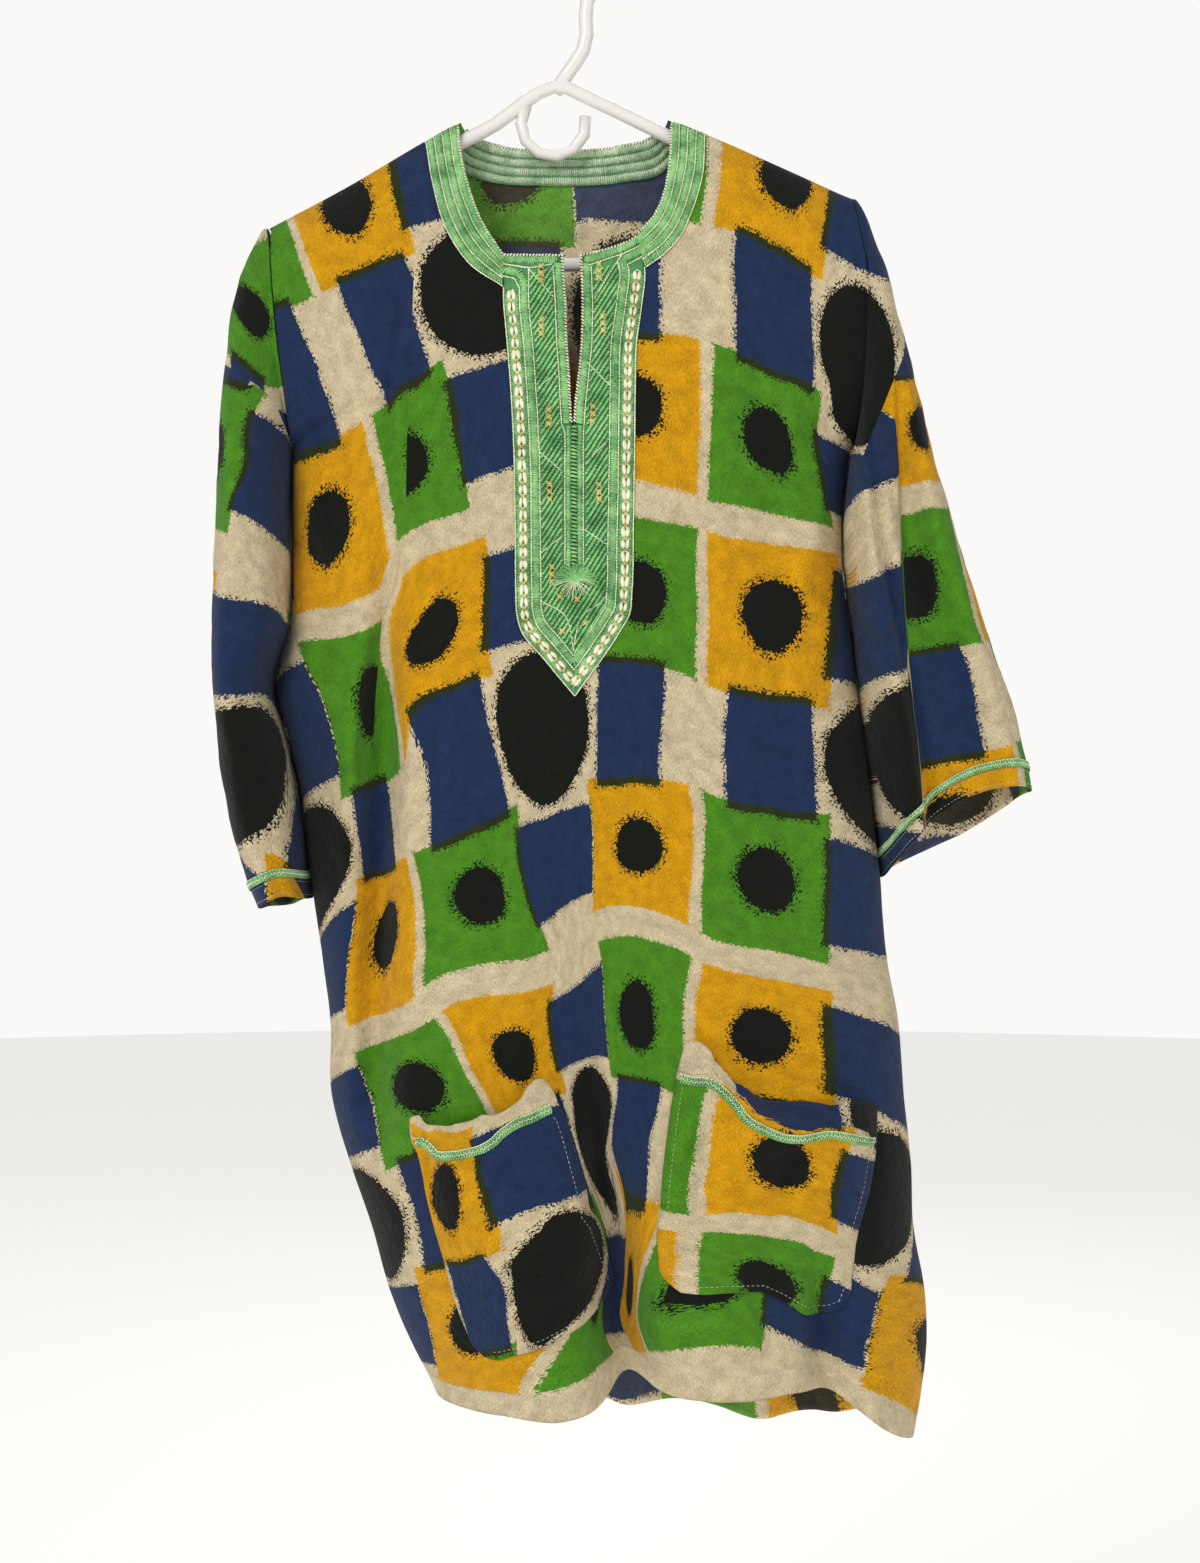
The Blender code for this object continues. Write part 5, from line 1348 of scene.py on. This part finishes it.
def makePlacket():
    green, cream, gold, dark, petals = [], [], [], [], []
    motifs, pitch = placketLine(5.8), placket["motifPitch"]
    stitchAlong(green, onFront, motifs, 0.95, ((-4.6, -0.2), (4.6, 0.2)), 0.45, 1.1, 0.75)
    satinRow(green, onFront, placketLine(14.4), 2.7)
    for route in placket["topRows"]:
        satinRow(green, onFront, polyline(route, 30), 2.8)
    for side in ("left", "right"):
        satinRow(green, onFront, slitEdge(side, 3.6, high=-238), 2.7)
        satinRow(green, onFront, slitEdge(side, 2.1, -448, -352), 1.7)
    # Cream lines: their routes, then the pitch, half length, height off the cloth, width and thickness.
    slitLines = [np.vstack([slitEdge(side, 7.1, high=-240), slitEdge(side, 4.5, -446, -356)])
                 for side in ("left", "right")]
    for routes, *sizes in (
            ([placketLine(0.5)], 1.7, 0.95, 0.75, 1.15, 0.9),
            ([placketLine(11.4), placketLine(17.5)], 2.1, 1.2, 0.95, 1.1, 0.8),
            (slitLines, 2.1, 1.2, 0.95, 1.05, 0.8),
            ([polyline(route, 12) for route in placket["zigzag"]], 2.0, 1.15, 1.35, 0.95, 0.75),
            ([polyline(placket["topLines"][0], 12), placket["topLines"][1]], 2.0, 1.15, 1.0, 1.0, 0.8)):
        for route in routes:
            runAlong(cream, onFront, route, *sizes)
    # Cowrie motifs: two petals side by side, with doubled crossing stitches at each join.
    for aside in (-1, 1):
        ends = ((0.95 * aside, -3.9), (1.95 * aside, 3.3))
        stitchAlong(petals, onFront, motifs, pitch, ends, 0.95, 3.1, 1.9)
    for aside in (-1, 1, -1, 1):
        ends = ((2.0 * aside, 2.2), (-0.3 * aside, 4.0))
        stitchAlong(petals, onFront, motifs, pitch, ends, 1.2, 0.75, 0.7)
    for aside in (2.25, -2.25):
        stitchAlong(gold, onFront, motifs, pitch, ((aside, -1.3), (-aside, 1.3)), 1.7, 0.9, 0.8, pitch / 2)
    stitchAlong(dark, onFront, motifs, pitch, ((0, -2.6), (0, 2.2)), 1.7, 0.55, 0.4)
    knots = [(x, z + up) for x, z in placket["goldRows"] for up in (-5, 0, 5)] + placket["goldKnots"]
    for x, z in knots:
        route = [(x, z - 0.4), (x, z + 0.4)]
        for aside in (2.09, -2.09):
            stitchAlong(gold, onFront, route, 5, ((aside, -2.3), (-aside, 2.3)), 2.0, 1.7, 1.2)
        stitchAlong(gold, onFront, route, 5, ((-2.2, 0.3), (2.2, 0.3)), 2.4, 1.2, 0.9)
    top, foot = placket["ladder"]
    down = [(0, foot + (top - foot) * s) for s in np.linspace(0, 1, 20)]
    stitchAlong(green, onFront, down, 2.6, ((-2.3, -0.5), (2.3, 0.5)), 1.0, 2.0, 1.6)
    stitchAlong(dark, onFront, down, 2.6, ((-0.9, 0.3), (0.9, -0.3)), 1.75, 0.7, 0.7, 1.3)
    cords = [slitEdge(side, 0.55, high=-231.5) for side in ("left", "right")]
    for route in cords + [polyline(route, 20) for route in placket["topCords"]]:
        twistAlong(cream, dark, onFront, route, 0.6)
    laidPieces("placket", (
        ("Satin", green, "arched", "green", 11), ("Lines", cream, "leaf", "cream", 12),
        ("Strands", strandMarks(), "leaf", "green", 13), ("Cowries", petals, "leaf", "cream", 14),
        ("Gold", gold, "leaf", "gold", 15), ("Knots", dark, "leaf", "dark", 16)), ["placket"])


makePlacketBase()
makePlacket()

# The neck bands' edges, from the shoulder down to the placket.
bands = {
    "left": {
        "inner": [(-81.6, -131), (-79.3, -155), (-72.5, -184), (-64.7, -205), (-56.2, -220), (-49, -231)],
        "outer": [(-103.7, -146), (-98.7, -176), (-91, -206), (-83, -222.5), (-71.5, -238), (-50, -253)]},
    "right": {
        "inner": [(67, -130), (65.4, -164), (59.4, -192.5), (53.4, -204.5), (48, -210.5), (42.6, -216.5)],
        "outer": [(90.3, -141.5), (88.3, -172.5), (80, -202), (72, -218.5), (62, -230), (49, -240)]},
    "rows": 4, "below": 3.0, "backBelow": 5.5,
}


def belowRidge(edges, below):
    return [np.column_stack([x, np.minimum(z, ridge(x) - below)]) for x, z in (edge.T for edge in edges)]


def bandEdges(side):
    return belowRidge([polyline(bands[side][name], 40) for name in ("inner", "outer")], bands["below"])


def backEdges():
    inner = polyline([(-77, -131)] + neckCut["back"][1:-1] + [(62, -129)], 40)
    outer = np.column_stack([inner[:, 0] * 1.12, inner[:, 1] - 24.4])
    return belowRidge([inner - np.array([0, 0.4]), outer], bands["backBelow"])


def makeBand(name, surface, edges, facing, nodes, colours=("green", "cream", "ground")):
    # Four satin rows side by side, cream lines between them and a twisted cord on the neck's edge.
    inner, outer = edges
    rows = [inner + (outer - inner) * s for s in np.linspace(0, 1, 9)]
    piece(ribbon(name + "Ground", surface, rows, facing, threads[colours[2]], 0.55), "embroidery", *nodes)
    satin, lines, light, dark = [], [], [], []
    for row in range(bands["rows"]):
        shares = ((row + 0.09) / bands["rows"], (row + 0.93) / bands["rows"])
        acrossRows(satin, surface, inner, outer, 1.3, shares, 0.45, 1.5, 2.1)
        middle = inner + (outer - inner) * (row + 1) / bands["rows"]
        runAlong(lines, surface, middle, 2.1, 1.2, 1.0, 1.1, 0.85)
    twistAlong(light, dark, surface, inner + (outer - inner) * 0.02, 0.6)
    laidPieces(name, (
        ("Satin", satin, "arched", colours[0], 21), ("Lines", lines, "leaf", colours[1], 22),
        ("Edge", light, "leaf", "cream", 23), ("EdgeDark", dark, "leaf", "deepGreen", 24)), nodes)


makeBand("neckBandLeft", onFront, bandEdges("left"), -1, ["neck_band_left"])
makeBand("neckBandRight", onFront, bandEdges("right"), 1, ["neck_band_right"])
makeBand("neckBandBack", onBack, backEdges(), 1, ["neck_band_back"])
# The back of its stitches, on the inside of the cloth.
makeBand("neckBandReverse", onCloth(backTree, -1, 0.95), backEdges(), -1, [], ("pale", "deepGreen", "pale"))

# The tuft's strands: their count, the turns they fan between, their thread, radius and share of the reach.
tuft = {
    "at": (0.6, -459), "reach": (10.5, 15.0), "lift": (1.0, 4.2),
    "tuftThreads": (96, -8, 188, "green", 0.5, 1.0), "tuftPaleThreads": (22, 160, 385, "cream", 0.26, 0.85),
}


def makeTuft():
    chance = np.random.default_rng(7)
    x, z = tuft["at"]
    for name in ("tuftThreads", "tuftPaleThreads"):
        count, low, high, thread, radius, part = tuft[name]
        paths = []
        for index in range(count):
            turn = math.radians(low + (high - low) * (index + chance.random()) / count)
            reach, lift = chance.uniform(*tuft["reach"]) * part, chance.uniform(*tuft["lift"])
            paths.append([onFront(x + reach * share * math.cos(turn) * (1 + 0.1 * share),
                                  z + reach * share * math.sin(turn) * 0.92 - 2.4 * share**2 + 1.5,
                                  2.4 + lift * math.sin(2.6 * share))[0]
                          for share in np.linspace(0.03, 1, 6)])
        piece(strandTubes(name, paths, radius, threads[thread]), "thread", "tuft")
    root = []
    stitchAlong(root, onFront, [(-1.6, -458.5), (2.8, -458.5)], 1.1, ((-2.0, 0), (2.0, 0)), 1.6, 1.2, 2.2)
    piece(layStitches("tuftRoot", root, "arched", threads["green"]), "thread", "tuft")


makeTuft()

print("cuffs and hem")


def onSleeve(points, ring):
    # Places on a sleeve: how far round the cuff and how far up from it.
    count = points.shape[1]
    up = np.array([lengths(points[::-1, index]) for index in range(count)]).T
    centre = Vector(points.mean(axis=1)[-1])

    def at(around, height):
        low, share = divmod(np.interp(around % ring[-1], ring, np.arange(count + 1)), 1)
        found = []
        for index in (int(low) % count, (int(low) + 1) % count):
            row = len(points) - 1 - np.interp(height, up[:, index], np.arange(len(up)))
            above = min(int(row), len(points) - 2)
            start, end = points[above:above + 2, index]
            found.append(start + (end - start) * (row - above))
        return Vector(found[0] + (found[1] - found[0]) * share)

    def surface(around, height, out):
        place = at(around, height)
        along = at(around + 2, height) - at(around - 2, height)
        rise = at(around, height + 2) - at(around, max(height - 2, 0))
        away = along.cross(rise).normalized()
        if away.dot(place - centre) < 0:
            away = -away
        return place + away * out, away

    return surface


cuffs = {"braid": 16.5, "width": 5.6, "stitches": (2.6, 11.8)}  # the braid and stitches above the edge


def makeCuffTrim(side):
    points = sleevePoints[side]
    ring = lengths(np.vstack([points[-1], points[-1][:1]]))
    surface = onSleeve(points, ring)
    route = np.column_stack([np.linspace(0, ring[-1], 140), np.full(140, cuffs["braid"])])
    braidAlong("cuffTrim" + side.capitalize(), surface, route, cuffs["width"], ["cuff_trim_" + side],
               way[side], 0.1)
    marks = []
    for height in cuffs["stitches"]:
        runAlong(marks, surface, route - np.array([0, cuffs["braid"] - height]), 3.2, 1.1, 0.03, 0.42, 0.28)
    piece(layStitches("cuffStitch" + side.capitalize(), marks, "leaf", threads["natural"]), "thread")


def makeHemStitch(side):
    across = np.linspace(0.03, 0.97, 160)
    z = hem(side, across) + 16
    marks = []
    runAlong(marks, onFront if side == "front" else onBack, np.column_stack([acrossBody(z, across), z]),
             3.6, 1.2, 0.03, 0.5, 0.35)
    piece(layStitches("hemStitch" + side.capitalize(), marks, "leaf", threads["natural"]), "thread")


for side in ("left", "right"):
    makeCuffTrim(side)
for side in ("front", "back"):
    makeHemStitch(side)

print("hanger")


def makeHangerSkin():
    # Injection-moulded polystyrene: bright, smooth and a little warm.
    made, tree, surface = newMaterial("injection-moulded plastic, warm white")
    wire(tree, surface, {"Base Color": hexColour("#EDE9E4"), "Roughness": 0.22, "IOR": 1.5})
    skin = bpy.data.objects["hanger"].copy()
    skin.data = skin.data.copy()
    skin.name = "hangerSkin"
    bpy.context.scene.collection.objects.link(skin)
    reshape(skin.data, lambda form: bmesh.ops.remove_doubles(form, verts=form.verts, dist=0.00002))
    skin.data.materials.clear()
    skin.data.materials.append(made)
    skin.data.shade_smooth()
    piece(skin, "hanger_plastic", "hanger")


makeHangerSkin()

print("sheets")
# Each cut piece's flat size in metres, across and down, and its flat area, before sewing.
for made, flat, area, held, under in (
        (frontCloth, (0.61, 0.93), 0.42, "hung", ["hangerSkin"]),
        (backCloth, (0.56, 0.95), 0.43, "hung", ["hangerSkin"]),
        (sleeveLeft, (0.39, 0.48), 0.13, "hung", [frontCloth, backCloth]),
        (sleeveRight, (0.42, 0.44), 0.13, "hung", [frontCloth, backCloth]),
        (pocketLeft, (0.150, 0.172), None, "laid", [frontCloth]),
        (pocketRight, (0.158, 0.166), None, "laid", [frontCloth])):
    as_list(under)
for made in forms.values():
    bpy.data.objects.remove(made)

print("floor, lights and camera")
light = {
    "room": 0.42, "backdrop": 0.96, "tint": (1.0, 0.99, 0.97, 1), "aim": (0, 0, -0.6),
    "floor": {"Base Color": hexColour("#C9C8C5"), "Roughness": 0.9, "Emission Color": hexColour("#F6F5F2"),
              "Emission Strength": 0.62},
    "lamps": [("key", (-1.5, -2.4, 1.1), 1.3, 46), ("fill", (1.9, -2.0, 0.0), 1.8, 12),
              ("rim", (0.4, 2.4, 0.9), 1.6, 22)],  # name, place, size, watts
}


def makeStage():
    bpy.ops.mesh.primitive_circle_add(vertices=96, radius=7, fill_type="NGON", location=(0, 0, 0))
    floor = bpy.context.object
    floor.name = "paleFloor"
    floor.data.transform(Matrix.Translation((0, 0, -1.5)))
    made, tree, surface = newMaterial("pale painted floor")
    wire(tree, surface, light["floor"])
    floor.data.materials.append(made)
    world = bpy.data.worlds.new("pale room")
    bpy.context.scene.world = world
    world.use_nodes = True
    seen = addNode(world.node_tree, "LightPath", None, "Is Camera Ray")
    bright = addNode(world.node_tree, "MapRange", {0: seen, 3: light["room"], 4: light["backdrop"]})
    wire(world.node_tree, world.node_tree.nodes["Background"], {0: light["tint"], 1: bright})
    for name, place, size, power in light["lamps"]:
        data = bpy.data.lights.new(name, "AREA")
        data.size, data.energy = size, power
        lamp = newObject(name, data)
        lamp.location = place
        lamp.rotation_euler = (Vector(light["aim"]) - Vector(place)).to_track_quat("-Z", "Y").to_euler()
    data = bpy.data.cameras.new("camera")
    data.sensor_fit = "VERTICAL"
    data.sensor_height = 24
    data.lens = data.sensor_height * view["distance"] / view["height"]
    camera = newObject("camera", data)
    camera.location = (view["x"], -view["distance"], view["z"])
    camera.rotation_euler = (math.pi / 2, 0, 0)
    bpy.context.scene.camera = camera
    bpy.context.scene.view_settings.view_transform = "Standard"


makeStage()
